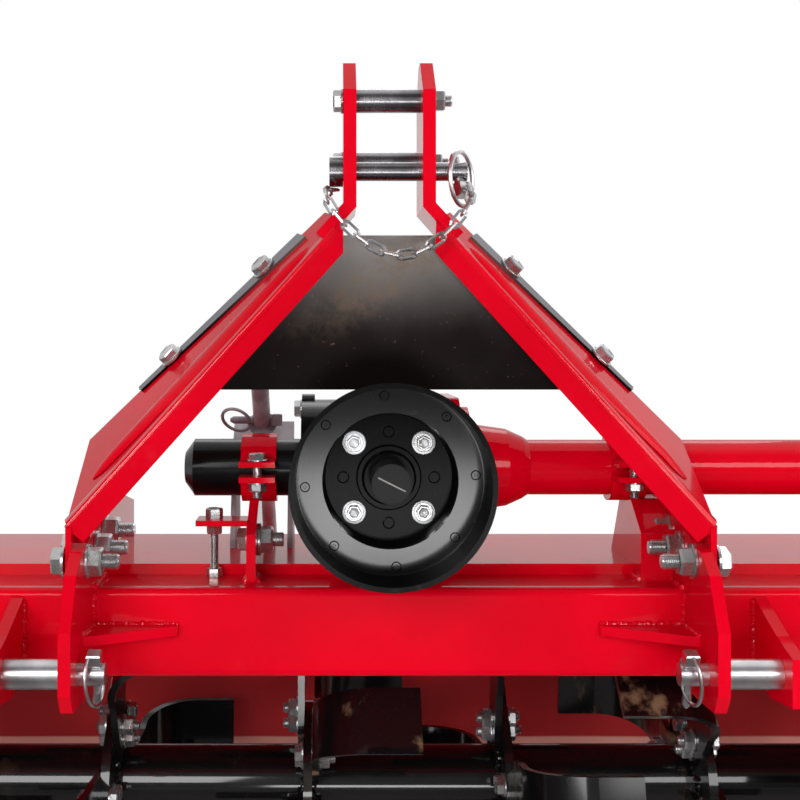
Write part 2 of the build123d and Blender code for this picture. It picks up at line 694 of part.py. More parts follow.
def bearing_hub():
    """Left-hand rotor bearing housing outside the end plate."""
    x = UNIT_LEFT - END_PLATE_T
    hub = rod_x(x - HUB_T, x, ROTOR_Y, ROTOR_Z, HUB_R)
    hub = chamfer(hub.edges().group_by(Axis.X)[0], 12.0)
    return hub - rod_x(x - 30.0, x + 1, ROTOR_Y, ROTOR_Z, STUB_R + HINGE_CLEAR)


def skid(x_from, outward):
    """Runner: a flat sole with a turned-up toe, and a web bolted to the end plate."""
    t = SKID_T
    toe = SKID_TOE_R
    heel = SKID_REAR_Y - 10.0
    x_sole = x_from if outward > 0 else x_from - SKID_W
    x_web = x_from if outward > 0 else x_from - t
    flat_start = SKID_FRONT_Y + toe * 0.75
    sole_line = [(flat_start, 0.0), (heel, 0.0), (heel + 26.0, 16.0)]
    toe_points = [
        (flat_start - toe * math.sin(a), toe - toe * math.cos(a))
        for a in [math.radians(d) for d in (50, 34, 17)]
    ]
    line = toe_points + sole_line
    sole = slab_x(sheet_profile(line[::-1], t), x_sole, x_sole + SKID_W)
    foot_z = ROTOR_Z - CASE_FOOT_R
    web = slab_x(
        [
            (flat_start, t), (heel, t), (heel, 60.0), (ROTOR_Y + 148.0, foot_z + 60.0), (ROTOR_Y + 105.0, foot_z + 30.0),
            (ROTOR_Y + 80.0, foot_z - 20.0), (ROTOR_Y - 80.0, foot_z - 20.0), (ROTOR_Y - 112.0, foot_z + 24.0),
            (ROTOR_Y - 140.0, foot_z + 60.0), (ROTOR_Y - 170.0, foot_z + 40.0), (flat_start, 50.0),
        ],
        x_web,
        x_web + t,
    )
    return sole + web


# Rotor

def flange_x(i):
    return UNIT_OFFSET + (i - (FLANGE_COUNT - 1) / 2) * FLANGE_PITCH


def rotor_shaft():
    """Rotor tube with its tine flanges and a stub axle at each end."""
    left, right = UNIT_LEFT + ROTOR_END_GAP, UNIT_RIGHT - ROTOR_END_GAP
    shaft = rod_x(left, right, ROTOR_Y, ROTOR_Z, ROTOR_TUBE_R)
    shaft += rod_x(UNIT_LEFT - END_PLATE_T - 28.0, UNIT_RIGHT + END_PLATE_T + 38.0, ROTOR_Y, ROTOR_Z, STUB_R)
    for i in range(FLANGE_COUNT):
        x = flange_x(i)
        shaft += rod_x(x - FLANGE_T / 2, x + FLANGE_T / 2, ROTOR_Y, ROTOR_Z, FLANGE_R)
    return shaft


def tine():
    """One right-turning tine about the X axis: a flat shank on a flange's right face, bent into a wide trailing blade."""
    x0 = FLANGE_T / 2
    x1 = x0 + TINE_REACH
    trail = TINE_BLADE_W / 2 + TINE_SWEEP
    crown = math.sqrt(TINE_TIP_R ** 2 - trail ** 2)
    ell = outline(
        (x0, TINE_ROOT_R),
        (x0, crown),
        (x1, crown),
        (x1, crown - TINE_T),
        (x0 + TINE_T, crown - TINE_T),
        (x0 + TINE_T, TINE_ROOT_R),
    )
    outer = ell.vertices().sort_by_distance((x0, crown, 0))[0]
    ell = fillet(outer, TINE_BEND_R + TINE_T)
    inner = ell.vertices().sort_by_distance((x0 + TINE_T, crown - TINE_T, 0))[0]
    ell = fillet(inner, TINE_BEND_R)
    bent = extrude(Plane.XZ * ell, amount=TINE_BLADE_W, both=True)
    side = Plane.YZ * outline(
        (-TINE_W / 2, TINE_ROOT_R - 1),
        (TINE_W / 2, TINE_ROOT_R - 1),
        (TINE_W / 2, FLANGE_R + 26.0),
        (TINE_BLADE_W / 2 - TINE_SWEEP, crown + 1),
        (-trail, crown + 1),
        (-TINE_W / 2 - 6.0, FLANGE_R + 40.0),
    )
    return bent & extrude(side, amount=400, both=True)


def tines(turn):
    """All the tines that turn to one side: +1 right, -1 left."""
    one = tine() if turn > 0 else mirrored(tine())
    made = []
    for i in range(FLANGE_COUNT):
        last = FLANGE_COUNT - 1
        if (i == last and turn > 0) or (i == 0 and turn < 0):
            continue
        for k in range(TINES_PER_FLANGE // 2):
            step = 360.0 / TINES_PER_FLANGE
            angle = i * 25.0 + (2 * k + (0 if turn > 0 else 1)) * step
            made.append(Pos(flange_x(i), ROTOR_Y, ROTOR_Z) * Rot(angle, 0, 0) * one)
    return made


# Tailgate

def knuckle_spots():
    """X of the three hinge eyes that the deck carries."""
    reach = KNUCKLE_SPREAD * INNER_WIDTH
    return [UNIT_OFFSET - reach, UNIT_OFFSET, UNIT_OFFSET + reach]


def hinge_rod():
    spots = knuckle_spots()
    return rod_x(spots[0] - 2 * KNUCKLE_W, spots[-1] + 2 * KNUCKLE_W, HINGE_Y, HINGE_Z, HINGE_ROD_R)


def deck_knuckles():
    """Hinge eyes under the deck's rear edge."""
    made = []
    for spot in knuckle_spots():
        x = spot - KNUCKLE_W / 2
        eye = rod_x(x, x + KNUCKLE_W, HINGE_Y, HINGE_Z, HINGE_KNUCKLE_R)
        arm = slab_x(
            [
                DECK_TAIL,
                (DECK_TAIL[0] + 8.0, DECK_TAIL[1] + 6.0),
                (HINGE_Y + 9.0, HINGE_Z + 9.0),
                (HINGE_Y, HINGE_Z),
            ],
            x,
            x + KNUCKLE_W,
        )
        made.append(eye + arm - rod_x(x - 1, x + KNUCKLE_W + 1, HINGE_Y, HINGE_Z, HINGE_ROD_R))
    return made


def gate_top():
    """Upper edge of the tailgate's sheet, just under the hinge."""
    return (HINGE_Y + 10.0, HINGE_Z - HINGE_KNUCKLE_R - 6.0)


def gate_point(share):
    """A point on the upper part of the tailgate's outer face, as a share of the way from its edge to its fold."""
    top = gate_top()
    return tuple(a + (b - a) * share for a, b in zip(top, GATE_KNEE))


def tailgate():
    """Folded rear sheet with its own hinge eyes."""
    top = gate_top()
    section = outline(*sheet_profile([top, GATE_KNEE, GATE_FOOT], GATE_T))
    left, right = UNIT_LEFT + GATE_SIDE_GAP, UNIT_RIGHT - GATE_SIDE_GAP
    gate = extrude(Plane.YZ.offset(left) * section, amount=right - left)
    gap = 2.0
    for spot in knuckle_spots():
        for side in (-1, 1):
            x_mid = spot + side * (KNUCKLE_W + gap)
            x = x_mid - KNUCKLE_W / 2
            eye = rod_x(x, x + KNUCKLE_W, HINGE_Y, HINGE_Z, HINGE_KNUCKLE_R)
            arm = slab_x(
                [(HINGE_Y, HINGE_Z), (HINGE_Y + HINGE_KNUCKLE_R, HINGE_Z), (top[0] + 4.0, top[1] - 8.0), (top[0] - 3.0, top[1] - 8.0)],
                x,
                x + KNUCKLE_W,
            )
            gate += eye + arm - rod_x(x - 1, x + KNUCKLE_W + 1, HINGE_Y, HINGE_Z, HINGE_ROD_R + HINGE_CLEAR)
    return gate


def gate_lugs():
    """Two ears on the tailgate that carry the rod's eye pin."""
    made = []
    for side in (-1, 1):
        x_mid = ROD_X + side * 16.0
        ear = slab_x(
            [
                gate_point(0.45), (ROD_EYE[0] + 16.0, ROD_EYE[1] - 14.0),
                (ROD_EYE[0] + 16.0, ROD_EYE[1] + 14.0), (ROD_EYE[0] - 16.0, ROD_EYE[1] + 14.0),
                gate_point(0.05),
            ],
            x_mid - 4.0,
            x_mid + 4.0,
        )
        made.append(ear)
    pin = rod_x(ROD_X - 26.0, ROD_X + 26.0, ROD_EYE[0], ROD_EYE[1], 6.0)
    return Part() + made + [pin]


def rod_direction():
    start, through = Vector(0, *ROD_EYE), Vector(0, *ROD_GUIDE)
    return (through - start).normalized(), (through - start).length


def gate_rod():
    """Rod that holds the tailgate: an eye at the gate, a round bar up through its guide."""
    direction, reach = rod_direction()
    origin = Vector(ROD_X, *ROD_EYE)
    bar = extrude(Plane(origin=origin, z_dir=direction) * Circle(ROD_R), amount=reach + ROD_OVERHANG)
    eye = rod_x(ROD_X - 10.0, ROD_X + 10.0, ROD_EYE[0], ROD_EYE[1], 15.0)
    return bar + eye - rod_x(ROD_X - 30.0, ROD_X + 30.0, ROD_EYE[0], ROD_EYE[1], 6.0 + HINGE_CLEAR)


def rod_guide():
    """Bracket on the deck with a slotted plate square to the rod."""
    direction, reach = rod_direction()
    at = Vector(ROD_X, *ROD_GUIDE)
    plane = Plane(origin=at, x_dir=(1, 0, 0), z_dir=direction)
    hole = RectangleRounded(2 * (ROD_R + 2.0), 2 * (ROD_R + ROD_SLOT_CLEAR), ROD_R + 1.0)
    top = extrude(plane * (Rectangle(GUIDE_W, GUIDE_L) - hole), amount=6.0)
    made = Part() + top
    low = plane.from_local_coords((0, -GUIDE_L / 2, 0))
    high = plane.from_local_coords((0, GUIDE_L / 2, 0))
    for side in (-1, 1):
        x_mid = ROD_X + side * (GUIDE_W / 2 - 3.0)
        points = [(low.Y, low.Z), (high.Y, high.Z), (DECK_FLAT_END - 20.0, DECK_TOP), (DECK_FLAT_END - 110.0, DECK_TOP)]
        made += slab_x(points, x_mid - 3.0, x_mid + 3.0)
    return made


def build():
    """Every node of the machine, by name, in the modelling frame."""
    full_leg = mast_leg()
    full_hitch = hitch_plate()
    left_leg = mirrored(full_leg)
    right_leg = full_leg - tube_way()
    right_mast = mast_plate(full_leg)
    left_mast = mirrored(right_mast)
    right_clevis = clevis_plate()
    right_pin = lower_pin()
    gusset = hitch_gusset()
    plate_middle = HITCH_PLATE_X + HITCH_PLATE_T / 2
    post_right = clamp_post(plate_middle - 40.0, HITCH_PLATE_X - SEAT_GAP, TUBE_R, 40.0)
    post_left = clamp_post(CLAMP_LEFT_X - 10.0, CLAMP_LEFT_X, CAP_TUBE_R, 30.0)
    post_left += box_between((CLAMP_LEFT_X - 64.0, 46.0, BEAM_TOP + 56.0), (CLAMP_LEFT_X - 10.0, 84.0, BEAM_TOP + 62.0))
    lugs = gate_lugs()
    return {
        "main_beam": main_beam(),
        "deck": deck(),
        "end_plate_left": end_plate(UNIT_LEFT - END_PLATE_T),
        "end_plate_right": end_plate(UNIT_RIGHT),
        "hitch_plate_left": mirrored(full_hitch),
        "hitch_plate_right": full_hitch - tube_way(),
        "clevis_plate_left": mirrored(right_clevis),
        "clevis_plate_right": right_clevis,
        "hitch_gussets": [gusset, mirrored(gusset)],
        "lower_pin_left": mirrored(right_pin),
        "lower_pin_right": right_pin,
        "mast_leg_left": left_leg,
        "mast_leg_right": right_leg,
        "mast_plate_left": left_mast,
        "mast_plate_right": right_mast,
        "mast_spacers": mast_spacers(),
        "top_link_pin": top_link_pin(),
        "retaining_chain": retaining_chain(),
        "driveline_guard": driveline_guard([left_leg, right_leg, left_mast, right_mast]),
        "gearbox": gearbox(),
        "gearbox_cover": gearbox_cover(gearbox()),
        "drive_tube": drive_tube(),
        "idle_cap": idle_cap(),
        "clamp_left_upper": clamp_half(CLAMP_LEFT_X, CAP_TUBE_R, True),
        "clamp_left_lower": clamp_half(CLAMP_LEFT_X, CAP_TUBE_R, False),
        "clamp_right_upper": clamp_half(CLAMP_RIGHT_X, TUBE_R, True),
        "clamp_right_lower": clamp_half(CLAMP_RIGHT_X, TUBE_R, False),
        "clamp_post_left": post_left,
        "clamp_post_right": post_right,
        "pto_shield": pto_shield(),
        "input_shaft": input_shaft(),
        "input_cap": input_cap(),
        "side_case": side_case(),
        "side_case_cover": side_case_cover(),
        "head_flange": head_flange(),
        "bearing_hub": bearing_hub(),
        "skid_left": skid(UNIT_LEFT - END_PLATE_T, -1),
        "skid_right": skid(UNIT_RIGHT + END_PLATE_T, 1),
        "rotor_shaft": rotor_shaft(),
        "tines_right": tines(1),
        "tines_left": tines(-1),
        "hinge_rod": hinge_rod(),
        "deck_knuckles": deck_knuckles(),
        "tailgate": tailgate(),
        "gate_lugs": lugs,
        "gate_rod": gate_rod(),
        "rod_guide": rod_guide(),
    }


def solids_of(piece):
    """The solids of a node, from one shape or a list of shapes."""
    shapes = piece if isinstance(piece, list) else [piece]
    return [solid for shape in shapes for solid in shape.solids()]


def centred(pieces):
    """The same nodes, moved so that the machine stands centred over the origin, with the shift that was used."""
    box = Compound(children=[s for p in pieces.values() for s in solids_of(p)]).bounding_box()
    shift = Vector(-(box.min.X + box.max.X) / 2, -(box.min.Y + box.max.Y) / 2, -box.min.Z)
    moved = {}
    for name, piece in pieces.items():
        moved[name] = Compound(children=[Pos(shift) * s for s in solids_of(piece)])
    return moved, shift


def main():
    os.makedirs("parts", exist_ok=True)
    pieces, shift = centred(build())
    for name, piece in pieces.items():
        export_step(piece, os.path.join("parts", name + ".step"))
    print("nodes", len(pieces), "shift", shift)


if __name__ == "__main__":
    main()
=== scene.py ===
# %% [markdown]
# # Dressing a rotary tiller
# The CAD model already holds the machine's plates, tubes, tines and joints. This lesson gives those
# pieces their finishes, adds the fasteners that hold them together, and sets up the studio. Everything
# is in metres, in the CAD model's own frame: +Z is up and the tractor would stand towards -Y.

import math
import random

import bpy
from mathutils import Matrix, Vector


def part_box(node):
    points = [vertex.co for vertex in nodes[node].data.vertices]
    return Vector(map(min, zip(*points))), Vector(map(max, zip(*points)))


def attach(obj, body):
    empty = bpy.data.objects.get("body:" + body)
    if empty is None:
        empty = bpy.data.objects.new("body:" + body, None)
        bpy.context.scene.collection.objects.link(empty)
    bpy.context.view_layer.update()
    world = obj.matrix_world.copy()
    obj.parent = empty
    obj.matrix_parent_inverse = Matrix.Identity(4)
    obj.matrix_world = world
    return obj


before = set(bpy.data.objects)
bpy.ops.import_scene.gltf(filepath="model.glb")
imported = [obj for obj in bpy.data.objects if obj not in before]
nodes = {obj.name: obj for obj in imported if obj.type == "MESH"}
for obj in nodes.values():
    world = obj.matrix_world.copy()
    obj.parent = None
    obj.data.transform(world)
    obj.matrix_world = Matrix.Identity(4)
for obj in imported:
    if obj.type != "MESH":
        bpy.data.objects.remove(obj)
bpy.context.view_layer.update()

# %% [markdown]
# ## One datum for every measure
# A maker measures this machine from the middle of its input shaft and from the main beam's front face.
# The same datum is read here from two CAD boxes, so a place can be written in millimetres from it and
# still follow the model if the model moves.

# %% The maker's datum
MM = 0.001
shield_low, shield_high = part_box("pto_shield")
beam_low, beam_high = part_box("main_beam")
datum = Vector(((shield_low.x + shield_high.x) / 2, beam_low.y, 0.0))


def spot(x, y, z):
    """A place in metres from millimetres along, behind and above the maker's datum."""
    return datum + Vector((x, y, z)) * MM


def middle(node):
    """The middle of a CAD node's box."""
    low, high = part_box(node)
    return (low + high) / 2


print("datum", [round(v, 4) for v in datum], "drive axis height", round(middle("pto_shield").z, 4))

# %% [markdown]
# ## Shader maths as Python
# A finish is a tree of nodes. Wiring each Math node by hand hides the idea, so a small class wraps one
# socket and turns `+`, `-` and `*` into Math nodes. `Finish` owns a material and makes every other node
# through one method.

# %% Field and Finish
class Field:
    """A value that changes over a surface: one output socket of a finish's node tree."""

    def __init__(self, finish, socket):
        self.finish = finish
        self.socket = socket

    def math(self, operation, first, second):
        return self.finish.node("ShaderNodeMath", {"operation": operation}, {0: first, 1: second})

    def __add__(self, other):
        return self.math("ADD", self, other)

    def __sub__(self, other):
        return self.math("SUBTRACT", self, other)

    def __rsub__(self, other):
        return self.math("SUBTRACT", other, self)

    def __mul__(self, other):
        return self.math("MULTIPLY", self, other)

    __radd__ = __add__
    __rmul__ = __mul__

    def between(self, low, high):
        """0 below low, 1 above high, smooth between."""
        return self.finish.node(
            "ShaderNodeMapRange",
            {"interpolation_type": "SMOOTHSTEP", "clamp": True},
            {"Value": self, "From Min": low, "From Max": high},
        )


class Finish:
    """A material: fixed numbers sit on the shader's sockets, changing ones come from nodes."""

    def __init__(self, name, **fixed):
        self.material = bpy.data.materials.new(name)
        self.material.use_nodes = True
        self.tree = self.material.node_tree
        self.shader = self.tree.nodes["Principled BSDF"]
        for key, value in fixed.items():
            self.shader.inputs[key.replace("_", " ")].default_value = value

    def put(self, socket, value):
        if isinstance(value, Field):
            self.tree.links.new(value.socket, socket)
        else:
            socket.default_value = value

    def node(self, kind, settings=None, sockets=None, out=0):
        made = self.tree.nodes.new(kind)
        for key, value in (settings or {}).items():
            setattr(made, key, value)
        for key, value in (sockets or {}).items():
            self.put(made.inputs[key], value)
        return Field(self, made.outputs[out])

    def feed(self, **fields):
        for key, value in fields.items():
            self.put(self.shader.inputs[key.replace("_", " ")], value)


print("shader classes", Field.__name__, Finish.__name__)

# %% [markdown]
# ## Small words for common nodes
# Noise, colour mixing and bump come up in every finish. Each gets a short function here. Object
# coordinates are used throughout: CAD nodes sit at the origin, so a pattern keeps its real size on
# every piece.

# %% Noise, blend and bump
def tint(red, green, blue):
    """A screen colour, 0 to 255, as the linear colour that a shader works with."""
    linear = []
    for value in (red, green, blue):
        share = value / 255
        linear.append(share / 12.92 if share <= 0.04045 else ((share + 0.055) / 1.055) ** 2.4)
    return (*linear, 1.0)


def noise(finish, scale, detail=3.0, rough=0.55, stretch=(1, 1, 1)):
    where = finish.node("ShaderNodeTexCoord", out="Object")
    placed = finish.node("ShaderNodeMapping", None, {"Vector": where, "Scale": stretch})
    sockets = {"Vector": placed, "Scale": scale, "Detail": detail, "Roughness": rough}
    return finish.node("ShaderNodeTexNoise", None, sockets)


def blend(finish, mask, first, second):
    """The first colour where the mask is 0 and the second where it is 1."""
    sockets = {0: mask, 6: first, 7: second}
    return finish.node("ShaderNodeMix", {"data_type": "RGBA"}, sockets, out=2)


def bump(finish, height, strength, distance, over=None):
    sockets = {"Height": height, "Strength": strength, "Distance": distance}
    if over is not None:
        sockets["Normal"] = over
    return finish.node("ShaderNodeBump", None, sockets)


def part_of(finish, kind, axis):
    """One axis of a coordinate: Object is the place in metres, Normal the way a face looks."""
    where = finish.node("ShaderNodeTexCoord", out=kind)
    return finish.node("ShaderNodeSeparateXYZ", None, {"Vector": where}, out=axis)


def height_above_floor(finish):
    return part_of(finish, "Object", "Z")


print("helpers ready, sample tint", [round(v, 3) for v in tint(228, 0, 32)])

# %% [markdown]
# ## The red paint
# The frame is powder-coated in a saturated red with a glassy top. The photograph shows it twice: faces
# turned to the viewer stay pure red, while faces turned up mirror the white studio and go pink. A clear
# coat of low index does both, since it mirrors little straight on and nearly everything at a glancing
# angle. Slow noise moves the red a little, a fine one makes the orange-peel surface, and a bevel node
# rounds each plate's edge by the millimetre that paint rounds it, so that edges catch the light. The
# beam is a rolled tube with rounder edges. On folds and welds the coat is thick and mirrors more, and
# the drive tube lies between.

# %% Red paint
PAINT_EDGE, TUBE_EDGE = 0.0016, 0.006
THIN_COAT, GLOSSY_COAT, THICK_COAT = 1.22, 1.36, 1.5


def softened_edges(finish, radius):
    return finish.node("ShaderNodeBevel", {"samples": 4}, {"Radius": radius})


def red_pigment(paint, clouds):
    return blend(paint, clouds.between(0.35, 0.7), tint(206, 0, 26), tint(224, 0, 31))


def red_paint(name, edge, coat_index):
    paint = Finish(name, Coat_Roughness=0.05, Coat_IOR=coat_index, Specular_IOR_Level=0.015)
    clouds = noise(paint, 5.0, 4.0)
    peel = noise(paint, 380.0, 2.0)
    dust = noise(paint, 38.0, 6.0, 0.65).between(0.58, 0.8)
    paint.feed(
        Base_Color=blend(paint, dust * 0.06, red_pigment(paint, clouds), tint(176, 92, 88)),
        Roughness=0.3 + 0.12 * clouds + 0.12 * dust,
        Coat_Weight=0.75 - 0.25 * dust,
        Normal=bump(paint, peel, 0.04, 0.0004, softened_edges(paint, edge)),
    )
    return paint


red = red_paint("red_powder_coat", PAINT_EDGE, THIN_COAT)
tube_red = red_paint("red_rolled_tube", TUBE_EDGE, THIN_COAT)
thick_red = red_paint("red_thick_coat", PAINT_EDGE, THICK_COAT)
glossy_red = red_paint("red_glossy_coat", PAINT_EDGE, GLOSSY_COAT)
for paint in (red, tube_red, thick_red, glossy_red):
    print("made", paint.material.name)

# %% [markdown]
# ## Red paint on the runners
# A runner drags over soil, so its sole loses paint first. The same coat is mixed with bare steel by
# height above the floor, and noise breaks the border so that it reads as wear and not as a painted
# line.

# %% Runner paint with a scuffed sole
SOLE_EDGE = 0.006


def runner_paint():
    paint = Finish("red_runner_scuffed", Coat_Roughness=0.08, Coat_IOR=THIN_COAT, Specular_IOR_Level=0.03)
    ragged = noise(paint, 60.0, 5.0, 0.7)
    clouds = noise(paint, 5.0, 4.0)
    ragged_level = height_above_floor(paint) + 2 * SOLE_EDGE * ragged - SOLE_EDGE
    bare = 1 - ragged_level.between(0.0005, SOLE_EDGE)
    steel = blend(paint, ragged, tint(120, 114, 106), tint(176, 170, 160))
    paint.feed(
        Base_Color=blend(paint, bare, red_pigment(paint, clouds), steel),
        Metallic=bare * 0.9,
        Roughness=0.26 + 0.2 * bare * ragged,
        Coat_Weight=0.9 - 0.9 * bare,
        Normal=bump(paint, ragged, 0.08, 0.0005),
    )
    return paint


scuffed_red = runner_paint()
print("made", scuffed_red.material.name)

# %% [markdown]
# ## Red paint on the tailgate
# A pale, dull band along the lower edge of the tailgate's inner side is a painted reflection of the
# white floor. The mask joins two things: how low a point is, and whether its side faces the rotor. The
# rest of the inner side is mixed towards a duller, less saturated red.

# %% Tailgate paint with a painted reflection along its inner edge
# Top of the painted reflection band on the tailgate's inner side and its fade, in metres above the floor.
PAINTED_REFLECTION_TOP, PAINTED_REFLECTION_FADE = 0.196, 0.004


def gate_paint():
    paint = Finish("red_gate_painted_reflection", Coat_Roughness=0.08, Coat_IOR=THIN_COAT, Specular_IOR_Level=0.03)
    clouds = noise(paint, 5.0, 4.0)
    ragged = noise(paint, 45.0, 5.0, 0.6, (0.15, 1.0, 1.0))
    inner = 1 - part_of(paint, "Normal", "Y").between(-0.3, 0.0)
    ragged_level = height_above_floor(paint) + 0.003 * ragged
    # Painted reflection: a pale band low on the side that faces the rotor, where the white floor would
    # show.
    low = 1 - ragged_level.between(PAINTED_REFLECTION_TOP, PAINTED_REFLECTION_TOP + PAINTED_REFLECTION_FADE)
    painted_reflection_band = low * inner
    # The inner side is mixed towards a duller, less saturated red.
    coat = blend(paint, inner * 0.8, red_pigment(paint, clouds), tint(190, 54, 56))
    pale = blend(paint, ragged, tint(250, 172, 158), tint(255, 196, 180))
    paint.feed(
        Base_Color=blend(paint, painted_reflection_band * 0.9, coat, pale),
        Roughness=0.3 + 0.12 * clouds + 0.25 * painted_reflection_band,
        Coat_Weight=0.75 - 0.65 * painted_reflection_band,
        Normal=bump(paint, ragged, 0.05, 0.0005, softened_edges(paint, PAINT_EDGE)),
    )
    return paint


red_with_painted_reflection = gate_paint()
print("made", red_with_painted_reflection.material.name)

# %% [markdown]
# ## Black paint for the rotor
# Rotor, tines and the idle end of the drive are dipped in black, which sags in soft waves as it dries.
# The rotor's coat is thick and draws lamps as bright lines, while the idle end is duller. New tines
# carry brown smears where the paint ran off and rust has started.

# %% Black paint
def black_paint(name, worn, coat, coat_index, coat_blur):
    paint = Finish(name, Coat_Roughness=coat_blur, Coat_IOR=coat_index, Specular_IOR_Level=0.1)
    clouds = noise(paint, 9.0, 4.0)
    runs = noise(paint, 15.0, 5.0, 0.6, (1.0, 1.0, 0.4)).between(0.58, 0.68) * worn
    sags = noise(paint, 34.0, 3.0, 0.5, (0.5, 1.0, 1.0))
    base = blend(paint, clouds, tint(5, 4, 5), tint(15, 14, 15))
    paint.feed(
        Base_Color=blend(paint, runs, base, tint(138, 110, 84)),
        Roughness=0.28 + 0.14 * clouds + 0.3 * runs,
        Coat_Weight=coat - 0.9 * coat * runs,
        Normal=bump(paint, sags + 0.25 * noise(paint, 240.0, 3.0), 0.28, 0.004),
    )
    return paint


black = black_paint("black_dip_paint", 0.05, 0.5, 1.3, 0.12)
rotor_black = black_paint("black_rotor_paint", 0.05, 0.8, 1.55, 0.07)
tine_black = black_paint("black_tine_paint", 0.8, 0.8, 1.5, 0.1)
for paint in (black, rotor_black, tine_black):
    print("made", paint.material.name)

# %% [markdown]
# ## Dark sheet with a painted sheen
# The guard between the mast's legs is hot-rolled sheet under a thin dark film. It mirrors blurred light,
# and its colour carries painted light: a brown-black painted shade low down that rises to a pale grey
# painted reflection towards its upper edge, and a pale blue-grey painted reflection on its folded wings,
# which face sideways. It also has a brown bloom, a brown smear that runs down to the left, and a scatter
# of tiny dots. Roughness clouds make the blotchy sheen, and a noise with a high threshold leaves only a
# few dots. The smear is a band along a slanted line, broken up by noise.

# %% Guard sheet
# Heights between which the guard's colour goes from painted shade to a pale painted reflection.
PAINTED_SHADE_Z, PAINTED_SHEEN_Z = 0.75, 0.89
SMEAR_X, SMEAR_Z = -0.048, 0.825
SMEAR_WIDTH = 0.032
SMEAR_SLOPE = (0.6, 0.8)


def sheet_with_painted_sheen():
    sheet = Finish("dark_sheet_painted_sheen", Metallic=0.85)
    clouds = noise(sheet, 7.0, 5.0, 0.6)
    drag = noise(sheet, 60.0, 3.0, 0.5, (0.2, 1.0, 1.0))
    specks = noise(sheet, 210.0, 2.0).between(0.7, 0.76) * clouds
    height = height_above_floor(sheet)
    # Painted shade low down and a painted reflection higher up, made blotchy by the clouds.
    painted_sheen_rise = height.between(PAINTED_SHADE_Z, PAINTED_SHEEN_Z)
    painted_sheen = (painted_sheen_rise * 0.85 + clouds * 0.4 - 0.16).between(0.0, 1.0)
    painted_sheen_and_stains = blend(sheet, painted_sheen, tint(23, 16, 15), tint(132, 127, 124))
    # Painted reflection: faces turned sideways, the folded wings, are painted pale blue-grey.
    sideways = part_of(sheet, "Normal", "X")
    painted_wing_reflection = (sideways * sideways).between(0.15, 0.35)
    bloom = noise(sheet, 11.0, 6.0, 0.72).between(0.52, 0.72) * painted_sheen_rise
    painted_sheen_and_stains = blend(sheet, bloom * 0.45, painted_sheen_and_stains, tint(104, 84, 62))
    along = part_of(sheet, "Object", "X")
    off_line = SMEAR_SLOPE[0] * (along - SMEAR_X) - SMEAR_SLOPE[1] * (height - SMEAR_Z)
    near_line = 1 - (off_line * off_line).between(0.0, SMEAR_WIDTH * SMEAR_WIDTH)
    fade = height.between(PAINTED_SHADE_Z, SMEAR_Z)
    smear = near_line * fade * noise(sheet, 52.0, 7.0, 0.74).between(0.38, 0.62)
    painted_sheen_and_stains = blend(sheet, smear * 0.6, painted_sheen_and_stains, tint(112, 92, 76))
    painted_sheen_and_stains = blend(sheet, painted_wing_reflection * 0.85, painted_sheen_and_stains, tint(126, 126, 132))
    sheet.feed(
        Base_Color=blend(sheet, specks * 0.8, painted_sheen_and_stains, tint(142, 112, 86)),
        Roughness=0.3 + 0.14 * clouds + 0.06 * drag,
        Normal=bump(sheet, clouds + 0.3 * drag, 0.1, 0.002),
    )
    return sheet


dark_sheet = sheet_with_painted_sheen()
print("made", dark_sheet.material.name)

# %% [markdown]
# ## Moulded black plastic
# The shaft's shield and cap are injection-moulded. Such plastic is nearly black, faintly uneven in
# gloss where it left the mould, and holds fine scuffs. The shield's flat ring was polished in the mould
# and mirrors light, while its bell and floor stayed dull: the gloss is a coat whose weight follows the
# depth inside the bell.

# %% Plastics
RING_DEPTHS = (-0.045, -0.038, -0.030, -0.024)


def moulded(name, dark, light, gloss):
    plastic = Finish(name, Specular_IOR_Level=0.04, Coat_Roughness=0.13, Coat_IOR=1.5)
    clouds = noise(plastic, 14.0, 4.0)
    scuffs = noise(plastic, 90.0, 6.0, 0.7, (1.0, 0.3, 1.0)).between(0.58, 0.8)
    plastic.feed(
        Base_Color=blend(plastic, scuffs * 0.3, blend(plastic, clouds, dark, light), tint(84, 82, 82)),
        Roughness=gloss + 0.16 * clouds + 0.12 * scuffs,
        Normal=bump(plastic, noise(plastic, 300.0, 2.0), 0.05, 0.0006),
    )
    return plastic, clouds


def shield_finish():
    plastic, clouds = moulded("shield_black_plastic", tint(4, 4, 4), tint(14, 14, 14), 0.3)
    depth = part_of(plastic, "Object", "Y")
    front_low, front_high, back_low, back_high = [datum.y + offset for offset in RING_DEPTHS]
    polished = depth.between(front_low, front_high) - depth.between(back_low, back_high)
    plastic.feed(Coat_Weight=0.06 + polished * (0.64 + 0.3 * clouds))
    return plastic


shield_plastic = shield_finish()
cap_plastic, _ = moulded("cap_dark_plastic", tint(34, 34, 35), tint(54, 53, 54), 0.42)
# Painted highlight: the slot's line on the cap is pale grey.
slot_highlight_plastic, _ = moulded("cap_slot_painted_highlight", tint(120, 118, 116), tint(176, 174, 170), 0.4)
print("made", shield_plastic.material.name, cap_plastic.material.name, slot_highlight_plastic.material.name)

# %% [markdown]
# ## Zinc and bare steel
# Pins, bolts and the chain are zinc plated: a bright grey with small changes of tone and gloss. The
# mast's pins are darker. Pins and turned steel have fine rings along their length, made by stretching
# the noise. The tailgate's rod is dull galvanised metal that mirrors little: its pale violet grey is
# partly the metal's own grey and partly painted reflection of the red frame and the white studio,
# lightened as painted light against the shade it stands in.

# %% Metals
EVEN, ALONG_X, ALONG_Y = (1, 1, 1), (3.0, 0.2, 0.2), (0.2, 3.0, 0.2)


